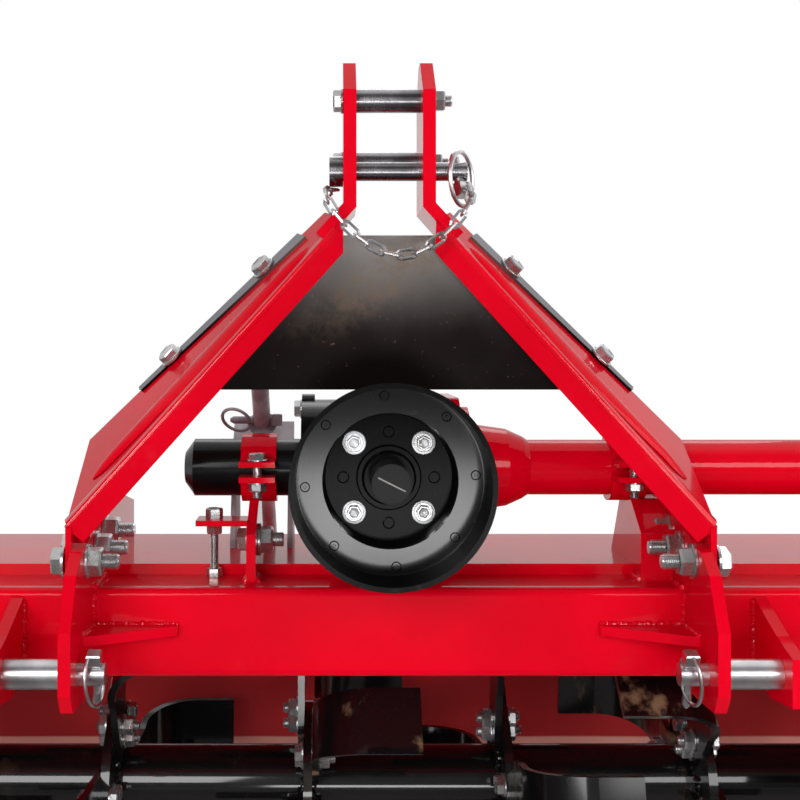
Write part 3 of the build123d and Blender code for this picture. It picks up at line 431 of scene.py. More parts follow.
def plated(name, dark, light, low_gloss, stretch, metallic=1.0):
    metal = Finish(name, Metallic=metallic)
    clouds = noise(metal, 22.0, 4.0)
    lines = noise(metal, 160.0, 3.0, 0.6, stretch)
    metal.feed(
        Base_Color=blend(metal, clouds.between(0.3, 0.7), dark, light),
        Roughness=low_gloss + 0.14 * clouds + 0.1 * lines,
        Normal=bump(metal, lines, 0.06, 0.0005),
    )
    return metal


zinc = plated("zinc_plate", tint(168, 166, 164), tint(214, 215, 218), 0.16, EVEN, 0.9)
pin_zinc = plated("zinc_pin", tint(178, 176, 178), tint(224, 223, 226), 0.2, ALONG_X)
mast_zinc = plated("zinc_mast_pin", tint(122, 119, 121), tint(172, 170, 174), 0.14, ALONG_X)
steel = plated("turned_steel", tint(120, 116, 110), tint(168, 164, 158), 0.3, ALONG_Y)
# Painted reflection: a pale violet grey stands for red and white light on the rod, whose metal mirrors
# little.
galvanised_painted_reflection = plated("galvanised_plate_painted_reflection", tint(150, 140, 148), tint(214, 206, 212), 0.4, EVEN, 0.2)
for metal in (zinc, pin_zinc, mast_zinc, steel, galvanised_painted_reflection):
    print("made", metal.material.name)

# %% [markdown]
# ## Finishes on the CAD pieces
# Each CAD node takes one finish. Red is the rule, so only the exceptions are listed.

# %% Give every node its finish
exceptions = {
    "driveline_guard": dark_sheet,
    "pto_shield": shield_plastic,
    "input_cap": cap_plastic,
    "input_shaft": steel,
    "rotor_shaft": rotor_black,
    "tines_left": tine_black,
    "tines_right": tine_black,
    "idle_cap": black,
    "gearbox_cover": black,
    "lower_pin_left": pin_zinc,
    "lower_pin_right": pin_zinc,
    "top_link_pin": mast_zinc,
    "mast_spacers": mast_zinc,
    "hinge_rod": zinc,
    "gate_rod": galvanised_painted_reflection,
    "rod_guide": galvanised_painted_reflection,
    "retaining_chain": zinc,
    "main_beam": tube_red,
    "drive_tube": glossy_red,
    "tailgate": red_with_painted_reflection,
    "skid_left": scuffed_red,
    "skid_right": scuffed_red,
}
for name, piece in nodes.items():
    piece.data.materials.clear()
    piece.data.materials.append(exceptions.get(name, red).material)
print("red nodes", sum(1 for name in nodes if name not in exceptions), "others", len(exceptions))

# %% [markdown]
# ## A workbench for small pieces
# Fasteners repeat, so they are written once as rings of points that are turned about an axis and then
# stamped into place. `Bench` gathers many stamps into one mesh, which keeps the scene light, and hands
# it to a CAD body so that it moves with it.

# %% Bench
class Bench:
    """One mesh in the making: stamped copies of small forms, in metres."""

    def __init__(self):
        self.points = []
        self.faces = []

    def stamp(self, form, place):
        points, faces = form
        start = len(self.points)
        self.points += [place @ Vector(p) for p in points]
        self.faces += [[start + i for i in face] for face in faces]

    def make(self, name, finish, body, slot, sharp=28.0):
        mesh = bpy.data.meshes.new(name)
        mesh.from_pydata(self.points, [], self.faces)
        mesh.validate()
        mesh.shade_smooth()
        mesh.set_sharp_from_angle(angle=math.radians(sharp))
        mesh.materials.append(finish.material)
        made = bpy.data.objects.new(name, mesh)
        bpy.context.scene.collection.objects.link(made)
        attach(made, body)
        print("made", name, len(self.faces), "faces on", body)


def facing(place, axis, spin=0.0):
    """A matrix that stands a form's Z along an axis at a place."""
    turn = Vector(axis).to_track_quat("Z", "Y").to_matrix().to_4x4()
    return Matrix.Translation(place) @ turn @ Matrix.Rotation(spin, 4, "Z")


def turned(rings, sides):
    """A form turned about Z from (radius, height) rings in millimetres; its two ends are closed."""
    points, faces = [], []
    for radius, height in rings:
        for k in range(sides):
            angle = 2 * math.pi * k / sides
            points.append((radius * MM * math.cos(angle), radius * MM * math.sin(angle), height * MM))
    for r in range(len(rings) - 1):
        for k in range(sides):
            a, b = r * sides + k, r * sides + (k + 1) % sides
            faces.append((a, b, b + sides, a + sides))
    faces.append(tuple(range(sides - 1, -1, -1)))
    faces.append(tuple(range((len(rings) - 1) * sides, len(rings) * sides)))
    return points, faces


print("bench ready")

# %% [markdown]
# ## Hexagon bolts
# A bolt's look comes from four things: a washer, a six-sided head with its corners rounded off on top,
# a shallow dish in the head, and on the far side a nut with some thread beyond it. Turning with six
# sides makes the hexagon; a thread is a stack of small rings. The main measures are multiples of the
# bolt's radius.

# %% Bolt forms
ACROSS_FLATS, HEAD, NUT, WASHER, THREAD_START = 3.2, 1.3, 1.6, 0.4, 1.9


def washer_form(hole):
    outer = hole * 2.15
    top = hole * WASHER
    return turned([(outer - 0.6, 0), (outer, 0.4), (outer, hole * 0.34), (outer - 0.5, top)], 28)


def hexagon_form(size, height):
    corner = size / math.cos(math.pi / 6) / 2
    return turned(
        [
            (corner, 0),
            (corner, height * 0.82),
            (corner * 0.9, height),
            (corner * 0.7, height),
            (corner * 0.64, height * 0.93),
        ],
        6,
    )


def thread_form(radius, length):
    rings = []
    step = max(radius * 0.12, 0.6)
    for k in range(int(length / step)):
        rings.append((radius * (1.0 if k % 2 else 0.88), k * step))
    rings.append((radius * 0.8, length))
    return turned(rings, 20)


def head(bench, place, axis, radius, spin=0.3):
    """A bolt head on its washer, standing on a surface."""
    lift = Vector(axis).normalized() * radius * WASHER * MM
    bench.stamp(washer_form(radius), facing(place, axis))
    bench.stamp(hexagon_form(radius * ACROSS_FLATS, radius * HEAD), facing(place + lift, axis, spin))


def nut(bench, place, axis, radius, tail, spin=0.1):
    """A nut on its washer with the bolt's thread standing out of it."""
    unit = Vector(axis).normalized() * radius * MM
    bench.stamp(washer_form(radius), facing(place, axis))
    hexagon = hexagon_form(radius * ACROSS_FLATS, radius * NUT)
    bench.stamp(hexagon, facing(place + unit * WASHER, axis, spin))
    bench.stamp(thread_form(radius, tail), facing(place + unit * THREAD_START, axis))


print("bolt forms ready")

# %% [markdown]
# ## Bolts on the shield and the gearbox
# Four flanged bolts on a square hold the shield to the gearbox's nose: a wide washer face, a small
# hexagon and a deep dish. The gearbox's side cover has a bolt on each of its three lobes, a filler plug
# stands on top of the housing and a level plug sits in its back.

# %% Shield and gearbox bolts
drive_y = middle("drive_tube").y / MM - datum.y / MM
drive_z = middle("pto_shield").z / MM
SHIELD_SEAT = 2.0
BOLT_SQUARE = 35.0
COVER_BOLTS_R = 64
PLUG_X, PLUG_BEHIND = 40, 34


def flanged_bolt(bench, place, axis, spin):
    flange = [(11.8, 0), (12.2, 0.5), (12.2, 2.0), (11.6, 2.5), (9.4, 2.7), (8.9, 1.2)]
    bench.stamp(turned(flange, 32), facing(place, axis))
    dish = [(7.6, 1.0), (7.6, 6.6), (6.9, 7.6), (5.6, 7.6), (4.6, 6.0), (1.0, 5.4)]
    bench.stamp(turned(dish, 6), facing(place, axis, spin))


bench = Bench()
for x in (-BOLT_SQUARE, BOLT_SQUARE):
    for z in (-BOLT_SQUARE, BOLT_SQUARE):
        flanged_bolt(bench, spot(x, SHIELD_SEAT, drive_z + z), (0, -1, 0), 0.3 + x + 2 * z)
cover_x = (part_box("gearbox_cover")[0].x - datum.x) / MM
for k in range(3):
    angle = math.radians(90 + 120 * k)
    y = drive_y + COVER_BOLTS_R * math.cos(angle)
    z = drive_z + COVER_BOLTS_R * math.sin(angle)
    head(bench, spot(cover_x, y, z), (-1, 0, 0), 5.0)
gear_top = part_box("gearbox")[1].z / MM
plug_place = spot(PLUG_X, drive_y + PLUG_BEHIND, gear_top)
bench.stamp(hexagon_form(22, 12), facing(plug_place, (0, 0, 1)))
plug = turned([(6, 12), (6, 20), (10, 22), (10, 32), (8, 35)], 20)
bench.stamp(plug, facing(plug_place, (0, 0, 1)))
gear_back = (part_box("gearbox")[1].y - datum.y) / MM
head(bench, spot(0, gear_back, drive_z - 30), (0, 1, 0), 7)
bench.make("drive_bolts", zinc, "frame", "zinc")

# %% [markdown]
# ## Moulding marks
# Ejector pins leave shallow discs on the shield's flat ring, and its back has four moulded eyes and a
# raised collar round the shaft. They are too small for the CAD model, but they make the plastic read as
# a moulding. The cap on the shaft has a slot across its face, made as a thin pale grey ridge: a painted
# highlight along the slot.

# %% Shield and cap details
RING_SEAT = -35.0
EJECTORS, EJECTOR_R = 8, 84
EYES_R = 46
marks = Bench()
ejector = turned([(5.0, -0.4), (5.0, 0.4), (4.4, 0.8), (3.9, 0.2), (1.6, 0.2), (1.2, 0.7)], 20)
for k in range(EJECTORS):
    angle = math.radians(360 / EJECTORS * k + 4)
    place = spot(EJECTOR_R * math.cos(angle), RING_SEAT, drive_z + EJECTOR_R * math.sin(angle))
    marks.stamp(ejector, facing(place, (0, -1, 0)))
eye = turned([(6.2, -0.4), (6.2, 0.7), (5.4, 1.0), (4.9, 0.2)], 20)
for x, z in ((0, EYES_R), (EYES_R, 0), (-EYES_R, 0), (0, -EYES_R)):
    marks.stamp(eye, facing(spot(x, SHIELD_SEAT, drive_z + z), (0, -1, 0)))
collar = [(33, -0.5), (33, 3), (31.5, 5), (27.5, 5), (26.5, 10), (25, 12), (21, 12)]
marks.stamp(turned(collar, 48), facing(spot(0, SHIELD_SEAT, drive_z), (0, -1, 0)))
marks.make("shield_marks", shield_plastic, "frame", "black_plastic")

cap_face = (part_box("input_cap")[0].y - datum.y) / MM
slot_mark = Bench()
# Painted highlight along the slot.
slot_form = turned([(0.4, -15), (0.8, -14), (0.8, 14), (0.4, 15)], 8)
slot_mark.stamp(slot_form, facing(spot(0, cap_face, drive_z), (1, 0, -0.5)))
slot_mark.make("cap_slot", slot_highlight_plastic, "input", "cap_plastic")
cap_edge = Bench()
rim = turned([(18.9, 0.0), (18.9, 0.3), (18.0, 0.6), (16.6, 0.2)], 40)
cap_edge.stamp(rim, facing(spot(0, cap_face, drive_z), (0, -1, 0)))
cap_edge.make("cap_rim", cap_plastic, "input", "cap_plastic")

# %% [markdown]
# ## Bolts at the mast's feet
# Three bolts join each leg to its hitch plate. Their heads show outside; the nuts and long threads show
# inside, rising towards the back. The guard's two bolts a side stand square to the tilted legs, so the
# legs' directions are worked out from their foot and head points, as a sheet-metal worker would lay
# them out.

# %% Leg and guard bolts
PLATE_IN = (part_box("hitch_plate_right")[0].x - datum.x) / MM
LEG_OUT = (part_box("mast_leg_right")[1].x - datum.x) / MM
LEG_FOOT = Vector((LEG_OUT, -50, 582))
LEG_HEAD = Vector((46, -20, 885))
LEG_TILT = math.radians(23)
LEG_FOOT_W, LEG_HEAD_W = 130, 56
FOOT_BOLTS = ((-34, 547), (16, 553), (62, 564))
GUARD_BOLTS_Z = (746, 838)
bench = Bench()
for side in (-1, 1):
    for y, z in FOOT_BOLTS:
        head(bench, spot(side * LEG_OUT, y, z), (side, 0, 0), 8)
        nut(bench, spot(side * PLATE_IN, y, z), (-side, 0, 0), 8, 17)


def leg_lines(side):
    """Fold line and rear edge of a leg, and its directions across and away from its face."""
    mirror = Vector((side, 1, 1))
    along = (LEG_HEAD - LEG_FOOT).normalized()
    outward = Vector((0, 1, 0)).cross(along).normalized()
    back = along.cross(outward)
    across = back * math.cos(LEG_TILT) + outward * math.sin(LEG_TILT)
    normal = outward * math.cos(LEG_TILT) - back * math.sin(LEG_TILT)
    crease = across - along * (across.x / along.x)
    rear_foot = LEG_FOOT + crease * (LEG_FOOT_W / crease.dot(across))
    rear_head = LEG_HEAD + across * LEG_HEAD_W
    return [v * mirror for v in (LEG_FOOT, LEG_HEAD, rear_foot, rear_head, across, normal)]


for side in (-1, 1):
    fold_foot, fold_head, rear_foot, rear_head, across, normal = leg_lines(side)
    run = rear_head - rear_foot
    for z in GUARD_BOLTS_Z:
        place = rear_foot + run * ((z - rear_foot.z) / run.z) - across * 5 + normal * 3
        head(bench, spot(*place), normal, 6)
bench.make("mast_bolts", zinc, "frame", "zinc")

# %% [markdown]
# ## Folds and pressed ribs of the legs
# A press brake leaves a round fold, and the rib that stiffens each leg is pressed with a soft crown.
# The solids have a sharp corner and a flat rib. A thin roll is laid over the fold, with its section
# drawn once and swept along, and a crowned skin is laid over the rib. Both stand about a millimetre
# proud and catch the light as the real ones do.

# %% Rolled folds and crowned ribs
FOLD_R, WEB_LAP, FLANGE_LAP = 4.0, 14.0, 8.0
RIB_MARGIN, RIB_CROWN, RIB_RUN_OUT, RIB_RISE = 9.0, 5.0, 16.0, 40
RIB_HALF_W = 11.0


def swept(section, start, end):
    """A closed prism between two places; its section is a list of offsets. All in millimetres."""
    count = len(section)
    points = [(place + offset) for place in (start, end) for offset in section]
    faces = [(k, (k + 1) % count, (k + 1) % count + count, k + count) for k in range(count)]
    faces += [tuple(range(count - 1, -1, -1)), tuple(range(count, 2 * count))]
    return [datum + point * MM for point in points], faces


def fold_section(across, inward):
    """Round the outside of a square corner: web along across, flange along inward."""
    centre = FOLD_R / math.sqrt(2)
    flat = [(WEB_LAP, 0.3), (centre, centre - FOLD_R)]
    for k in range(1, 8):
        a = math.pi / 2 * k / 8
        flat.append((centre - FOLD_R * math.sin(a), centre - FOLD_R * math.cos(a)))
    flat += [(centre - FOLD_R, centre), (0.3, FLANGE_LAP), (2.5, FLANGE_LAP), (2.5, 2.5), (WEB_LAP, 2.5)]
    return [across * u + inward * v for u, v in flat]


def crowned_rib(low, high, across, normal, steps=48, cuts=14):
    """A skin over a lens-shaped rib: highest along its middle, with run-outs beyond both ends."""
    run = high - low
    unit = run.normalized()
    length = run.length + 2 * RIB_RUN_OUT
    points, faces = [], []
    for s in range(steps + 1):
        d = length * (0.5 - 0.5 * math.cos(math.pi * s / steps))
        from_end = min(d, length - d)
        share = max(0.0, min(1.0, (d - RIB_RUN_OUT) / run.length))
        margin = RIB_MARGIN * min(1.0, from_end / RIB_RUN_OUT) ** 0.5
        width = RIB_HALF_W * (1 - abs(2 * share - 1)) + margin + 0.2
        crown = RIB_CROWN * math.sin(math.pi / 2 * min(1.0, from_end / RIB_RISE)) ** 0.6
        for c in range(cuts + 1):
            t = 2 * c / cuts - 1
            place = low + unit * (d - RIB_RUN_OUT) + across * t * width
            points.append(datum + (place + normal * (crown * (1 - t * t) - 0.4)) * MM)
    row = cuts + 1
    for s in range(steps):
        for c in range(cuts):
            a = s * row + c
            faces.append((a, a + 1, a + row + 1, a + row))
    last = steps * row
    rim = list(range(row)) + [s * row + cuts for s in range(1, steps + 1)]
    rim += list(range(last + cuts - 1, last - 1, -1)) + [s * row for s in range(steps - 1, 0, -1)]
    faces.append(tuple(reversed(rim)))
    return points, faces


def rewound(form):
    """The same form with its faces wound the other way, as a mirrored copy needs."""
    points, faces = form
    return points, [tuple(reversed(face)) for face in faces]


folds, ribs = Bench(), Bench()
still = Matrix.Identity(4)
for side in (-1, 1):
    fold_foot, fold_head, rear_foot, rear_head, across, normal = leg_lines(side)
    run = fold_head - fold_foot
    section = fold_section(across, -normal)
    fold = swept(section, fold_foot + run * 0.012, fold_head - run * 0.03)
    folds.stamp(rewound(fold) if side > 0 else fold, still)
    rib_low = fold_foot + run * 0.16 + across * 34
    rib_high = fold_foot + run * 0.86 + across * 22
    rib = crowned_rib(rib_low, rib_high, across, normal)
    ribs.stamp(rewound(rib) if side < 0 else rib, still)
folds.make("leg_folds", thick_red, "frame", "red_paint")
ribs.make("leg_ribs", red, "frame", "red_paint", 60.0)

# %% [markdown]
# ## Bolts through the mast plates and the clamps
# The spacers are tubes on long bolts: head on the left, nut and thread on the right. Each tube clamp is
# drawn together by one bolt in front and one behind, and the left clamp's bracket stands on an
# adjusting screw.

# %% Spacer and clamp bolts
bench = Bench()
MAST_HALF = 46
EAR = 0.012
SCREW_X, SCREW_Y, TAB_LOW, TAB_HIGH = -182, 65, 570, 576
POST_T, POST_BOLT_Y, POST_BOLT_Z = 10, 76, 552
stud = turned([(4.6, 0), (4.9, 1), (4.9, 11), (4.6, 12)], 16)
spacer_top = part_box("mast_spacers")[1].z / MM
for y, z in ((18, spacer_top - 12), (53, spacer_top - 71)):
    head(bench, spot(-MAST_HALF, y, z), (-1, 0, 0), 6)
    nut(bench, spot(MAST_HALF, y, z), (1, 0, 0), 6, 8)
for half in ("clamp_left_upper", "clamp_right_upper"):
    low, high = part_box(half)
    lower_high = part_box(half.replace("upper", "lower"))[1]
    x = (low.x + high.x) / 2
    for y in (low.y + EAR, high.y - EAR):
        head(bench, Vector((x, y, low.z + 0.006)), (0, 0, 1), 5)
        bench.stamp(stud, facing(Vector((x, y, lower_high.z - 0.001)), (0, 0, 1)))
        nut(bench, Vector((x, y, lower_high.z - 0.006)), (0, 0, -1), 5, 8)
deck_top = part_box("deck")[1].z / MM
bench.stamp(hexagon_form(15, 9), facing(spot(SCREW_X, SCREW_Y, deck_top - 11.5), (0, 0, 1)))
screw = thread_form(4.6, TAB_LOW - deck_top)
bench.stamp(screw, facing(spot(SCREW_X, SCREW_Y, deck_top - 3), (0, 0, 1)))
bench.stamp(hexagon_form(16, 10), facing(spot(SCREW_X, SCREW_Y, TAB_LOW), (0, 0, -1), 0.4))
bench.stamp(hexagon_form(16, 11), facing(spot(SCREW_X, SCREW_Y, TAB_HIGH), (0, 0, 1), 0.2))
post_face = (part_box("clamp_post_left")[1].x - datum.x) / MM
head(bench, spot(post_face - POST_T, POST_BOLT_Y, POST_BOLT_Z), (-1, 0, 0), 7)
nut(bench, spot(post_face, POST_BOLT_Y, POST_BOLT_Z), (1, 0, 0), 8, 12)
bench.make("clamp_bolts", zinc, "frame", "zinc")

# %% [markdown]
# ## Tine bolts
# Every tine sits on its flange with two bolts: round the flange they make the rhythm of bright dots
# that the photograph shows under the beam. The loop repeats the spacing of the CAD pattern.

# %% Tine bolts
rotor_axis = middle("rotor_shaft")
rotor_axis.x = (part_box("tines_left")[0].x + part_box("tines_right")[1].x) / 2
FLANGES, PITCH, FLANGE_HALF, TINE_STEEL = 6, 0.230, 0.005, 0.008
FLANGE_TURN, TINE_TURN = 25, 60
TINE_BOLTS_R = (0.066, 0.084)


def flange_x(i):
    return rotor_axis.x + (i - (FLANGES - 1) / 2) * PITCH


bench = Bench()
for i in range(FLANGES):
    for turn in (1, -1):
        if (i == FLANGES - 1 and turn > 0) or (i == 0 and turn < 0):
            continue
        for k in range(3):
            angle = math.radians(i * FLANGE_TURN + (2 * k + (0 if turn > 0 else 1)) * TINE_TURN)
            for radius in TINE_BOLTS_R:
                y = rotor_axis.y - radius * math.sin(angle)
                z = rotor_axis.z + radius * math.cos(angle)
                tine_face = flange_x(i) + turn * (FLANGE_HALF + TINE_STEEL)
                nut(bench, Vector((tine_face, y, z)), (turn, 0, 0), 6, 7)
                head(bench, Vector((flange_x(i) - turn * FLANGE_HALF, y, z)), (-turn, 0, 0), 6)
bench.make("tine_bolts", zinc, "rotor", "zinc")

# %% [markdown]
# ## Spring clips
# A linchpin is a short pin with a hinged ring that snaps round the hitch pin. The pin is turned; the
# ring is a swept circle that is pulled slightly oval. One clip sits on the top pin, one on each lower
# pin, one on the tailgate's rod.

# %% Linchpins
def ring_form(radius, wire, oval, steps=40, sides=10):
    points, faces = [], []
    for s in range(steps):
        a = 2 * math.pi * s / steps
        out = Vector((math.cos(a), math.sin(a), 0))
        centre = Vector((radius * math.cos(a), radius * oval * math.sin(a), 0))
        for k in range(sides):
            b = 2 * math.pi * k / sides
            points.append((centre + out * wire * math.cos(b) + Vector((0, 0, wire * math.sin(b)))) * MM)
    for s in range(steps):
        for k in range(sides):
            a, b = s * sides + k, s * sides + (k + 1) % sides
            c, d = ((s + 1) % steps) * sides + k, ((s + 1) % steps) * sides + (k + 1) % sides
            faces.append((a, c, d, b))
    return points, faces


def linchpin(bench, place, axis, ring_axis, ring_offset, size=1.0, stem_end=37):
    stem = [(2.2, -stem_end), (4.4, 4 - stem_end), (4.4, 12)]
    block = [(8.2, 11), (9.6, 12.5), (9.6, 22), (8.2, 23.5)]
    bench.stamp(turned([(r * size, h * size) for r, h in stem], 16), facing(place, axis))
    bench.stamp(turned([(r * size, h * size) for r, h in block], 4), facing(place, axis, math.pi / 4))
    ring_place = place + Vector(ring_offset) * MM
    bench.stamp(ring_form(16 * size, 2.0 * size, 1.5), facing(ring_place, ring_axis))


PIN_HOLE = 0.010
bench = Bench()
top_pin = middle("top_link_pin")
pin_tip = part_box("top_link_pin")[1].x - PIN_HOLE
top_seat = Vector((pin_tip, top_pin.y, top_pin.z))
linchpin(bench, top_seat, (0.2, -0.25, -1), (0.73, -0.68, 0.05), (4, -5, -8), 1.15, 17)
for name, end in (("lower_pin_left", 1), ("lower_pin_right", 0)):
    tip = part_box(name)[end].x - (PIN_HOLE if end else -PIN_HOLE)
    place = Vector((tip, middle(name).y, middle(name).z))
    linchpin(bench, place, (0, -0.35, 1), (0.93, -0.36 if end else 0.36, 0.1), (0, -6, -4))
bench.make("hitch_clips", pin_zinc, "frame", "zinc")

ROD_R, ROD_EYE_Y, ROD_EYE_Z, CLIP_BELOW_TIP = 0.007, 566.5, 332.5, 0.078
rod_low, rod_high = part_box("gate_rod")
rod_tip = Vector((middle("gate_rod").x, rod_low.y + ROD_R, rod_high.z - ROD_R))
rod_eye = spot((rod_tip.x - datum.x) / MM, ROD_EYE_Y, ROD_EYE_Z)
rod_line = (rod_tip - rod_eye).normalized()
rod_washer = turned([(11, -1.6), (17, -1.4), (17, 1.4), (11, 1.6)], 28)
bench = Bench()
stop = rod_tip - rod_line * CLIP_BELOW_TIP
linchpin(bench, stop, (1, 0, 0), (0.1, 0.55, 0.8), (-30, 0, 0))
bench.stamp(rod_washer, facing(stop - rod_line * ROD_R, rod_line))
bench.make("rod_clip", galvanised_painted_reflection, "gate_rod", "zinc")

# %% [markdown]
# ## Fasteners of the hidden sides
# Seen from the sides and the back, the machine has the bolts that such machines have: a row round the
# side case's cover, four on the rotor's bearing and two in each runner's ears.

# %% Side bolts
COVER_TOP_R, COVER_FOOT_R, HUB_BOLTS_R = 0.077, 0.099, 0.042
EAR_BELOW, EAR_OUT, EAR_T = 0.022, 0.140, 0.008


def round_x(centre, radius, degrees):
    a = math.radians(degrees)
    return centre + Vector((0, math.cos(a), math.sin(a))) * radius


bench = Bench()
case_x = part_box("side_case_cover")[1].x
case_top = spot(0, drive_y, drive_z)
case_foot = Vector((0, rotor_axis.y, rotor_axis.z))
run = case_foot - case_top
square = Vector((0, -run.z, run.y)).normalized()
cover_spots = []
for share in (0, 0.25, 0.5, 0.75, 1):
    for side in (-1, 1):
        half_width = COVER_TOP_R + (COVER_FOOT_R - COVER_TOP_R) * share
        cover_spots.append(case_top + run * share + square * side * half_width)
for degrees in (60, 110, 160):
    cover_spots.append(round_x(case_top, COVER_TOP_R, degrees))
for degrees in (-20, -70, -120):
    cover_spots.append(round_x(case_foot, COVER_FOOT_R, degrees))
for place in cover_spots:
    head(bench, Vector((case_x, place.y, place.z)), (1, 0, 0), 5)
hub = Vector((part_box("bearing_hub")[0].x, rotor_axis.y, rotor_axis.z))
for degrees in (45, 135, 225, 315):
    head(bench, round_x(hub, HUB_BOLTS_R, degrees), (-1, 0, 0), 5)
ear_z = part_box("skid_left")[1].z - EAR_BELOW
for plate, side in (("end_plate_left", -1), ("end_plate_right", 1)):
    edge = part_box(plate)[0].x - EAR_T if side < 0 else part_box(plate)[1].x + EAR_T
    for offset in (-EAR_OUT, EAR_OUT):
        head(bench, Vector((edge, rotor_axis.y + offset, ear_z)), (side, 0, 0), 6)
bench.make("side_bolts", zinc, "frame", "zinc")

# %% [markdown]
# ## Clips and pins of the tailgate
# The hinge rod stays on the frame, and so do the spring clips at its two ends. The pin under the
# tailgate's rod goes through the lugs, so its head and its nut ride on the tailgate.

# %% Hinge clips and the rod's lower pin
CLIP_INSET = 0.008
clip_wire = turned([(1.4, -15), (1.9, -13), (1.9, 15), (1.4, 16)], 10)
bench = Bench()
hinge_low, hinge_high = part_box("hinge_rod")
hinge = middle("hinge_rod")
for x in (hinge_low.x + CLIP_INSET, hinge_high.x - CLIP_INSET):
    place = Vector((x, hinge.y, hinge.z))
    bench.stamp(ring_form(15, 1.6, 1.1), facing(place, (1, 0, 0.2)))
    bench.stamp(clip_wire, facing(place, (0, 0.3, 1)))
bench.make("hinge_clips", zinc, "frame", "zinc")

bench = Bench()
lug_low, lug_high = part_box("gate_lugs")
head(bench, Vector((lug_low.x, rod_eye.y, rod_eye.z)), (-1, 0, 0), 6)
nut(bench, Vector((lug_high.x, rod_eye.y, rod_eye.z)), (1, 0, 0), 6, 6)
bench.make("gate_pin_ends", zinc, "tailgate", "zinc")

# %% [markdown]
# ## Weld beads
# Hitch plates, gussets and brackets are welded to the beam, and thick paint keeps the weld's ripples as
# bright dots. A bead is a row of flattened drops that overlap like coins; each drop gets its own small
# turn and size from a seeded random source, so that the row looks hand-laid and is the same in every
# run.

# %% Welds
DROP_STEP, DROP_WOBBLE = 0.0036, 0.0006
GUSSET_W, POST_STEEL, POST_BACK = 84, 0.010, 0.072
ripple = random.Random(7)
drop = turned([(0.6, -3.0), (2.6, -2.4), (3.9, -1.0), (4.2, 0.4), (3.2, 2.0), (1.2, 2.8)], 12)


def weld(bench, start, end, size=1.0):
    run = end - start
    count = max(2, int(run.length / (DROP_STEP * size)))
    for k in range(count + 1):
        wobble = Vector([ripple.uniform(-DROP_WOBBLE, DROP_WOBBLE) for _ in range(3)])
        scale = Matrix.Scale(size * ripple.uniform(0.8, 1.15), 4)
        place = start + run * (k / count) + wobble
        lean = run.normalized() + Vector([ripple.uniform(-0.3, 0.3) for _ in range(3)])
        bench.stamp(drop, facing(place, lean) @ scale)


bench = Bench()
beam_top = beam_high.z / MM
gusset_low, gusset_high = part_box("hitch_gussets")
gusset_top, gusset_base = gusset_high.z / MM, gusset_low.z / MM
clevis_in = (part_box("clevis_plate_right")[0].x - datum.x) / MM
for side in (-1, 1):
    inner = side * PLATE_IN
    tip = side * (PLATE_IN - GUSSET_W)
    weld(bench, spot(inner, 0, gusset_top + 4), spot(inner, 0, beam_top - 6))
    weld(bench, spot(inner, 4, beam_top), spot(inner, 74, beam_top))
    weld(bench, spot(inner, 78, deck_top), spot(inner, 150, deck_top), 1.1)
    weld(bench, spot(tip, 0, gusset_top), spot(inner, 0, gusset_top), 0.8)
    weld(bench, spot(tip, 0, gusset_base), spot(inner, 0, gusset_base), 0.8)
    weld(bench, spot(inner, -54, gusset_top), spot(inner, -2, gusset_top), 0.8)
    weld(bench, spot(side * clevis_in, 0, 440), spot(side * clevis_in, 0, 500))
for post in ("clamp_post_left", "clamp_post_right"):
    low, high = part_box(post)
    near = high.x - POST_STEEL if post.endswith("left") else low.x
    for x in (near, near + POST_STEEL):
        weld(bench, Vector((x, low.y + 0.004, low.z)), Vector((x, datum.y + POST_BACK, low.z)), 1.1)
bench.make("weld_beads", thick_red, "frame", "red_paint")

# %% [markdown]
# ## Welds on the rotor
# Each flange is welded to the rotor's tube on both faces, all the way round. These beads turn with the
# rotor.

# %% Rotor welds
ROTOR_TUBE_R, ROUND_DROPS = 0.0445, 36
bench = Bench()
for i in range(FLANGES):
    for face in (-1, 1):
        x = flange_x(i) + face * FLANGE_HALF
        for k in range(ROUND_DROPS):
            a = 2 * math.pi * k / ROUND_DROPS
            outward = Vector((0, math.cos(a), math.sin(a))) * ROTOR_TUBE_R
            place = Vector((x, rotor_axis.y, rotor_axis.z)) + outward
            lean = Vector((ripple.uniform(-0.2, 0.2), -math.sin(a), math.cos(a)))
            bench.stamp(drop, facing(place, lean) @ Matrix.Scale(ripple.uniform(1.0, 1.3), 4))
bench.make("rotor_welds", rotor_black, "rotor", "black_paint")

# %% [markdown]
# ## The studio
# A pale floor takes the machine's shadow. Far from the machine it turns to plain white for rays that
# show the background, which gives the photograph's white surroundings without more light on the
# machine. Mirrored rays that meet the floor in front see it dark, as if black cloth lay there: that
# keeps the red pure and gives metal its bands.

# %% Floor
FLOOR_SIZE = 40
FADE_NEAR, FADE_FAR = 1.0, 2.4
CLOTH_EDGE, PAPER_EDGE = -1.0, 0.4
bpy.ops.mesh.primitive_plane_add(size=FLOOR_SIZE, location=(0, 0, 0))
floor = bpy.context.object
floor.name = "studio_floor"
ground = Finish("studio_floor_pale", Roughness=0.7, Specular_IOR_Level=0.2)


def background_rays(finish, behind):
    """1 for rays that show the background: the camera's, those through glass or mirrored backwards."""
    straight = finish.node("ShaderNodeLightPath", out="Is Camera Ray")
    through = finish.node("ShaderNodeLightPath", out="Is Transmission Ray")
    mirrored = finish.node("ShaderNodeLightPath", out="Is Glossy Ray")
    return (straight + through + mirrored * behind).between(0.0, 1.0)


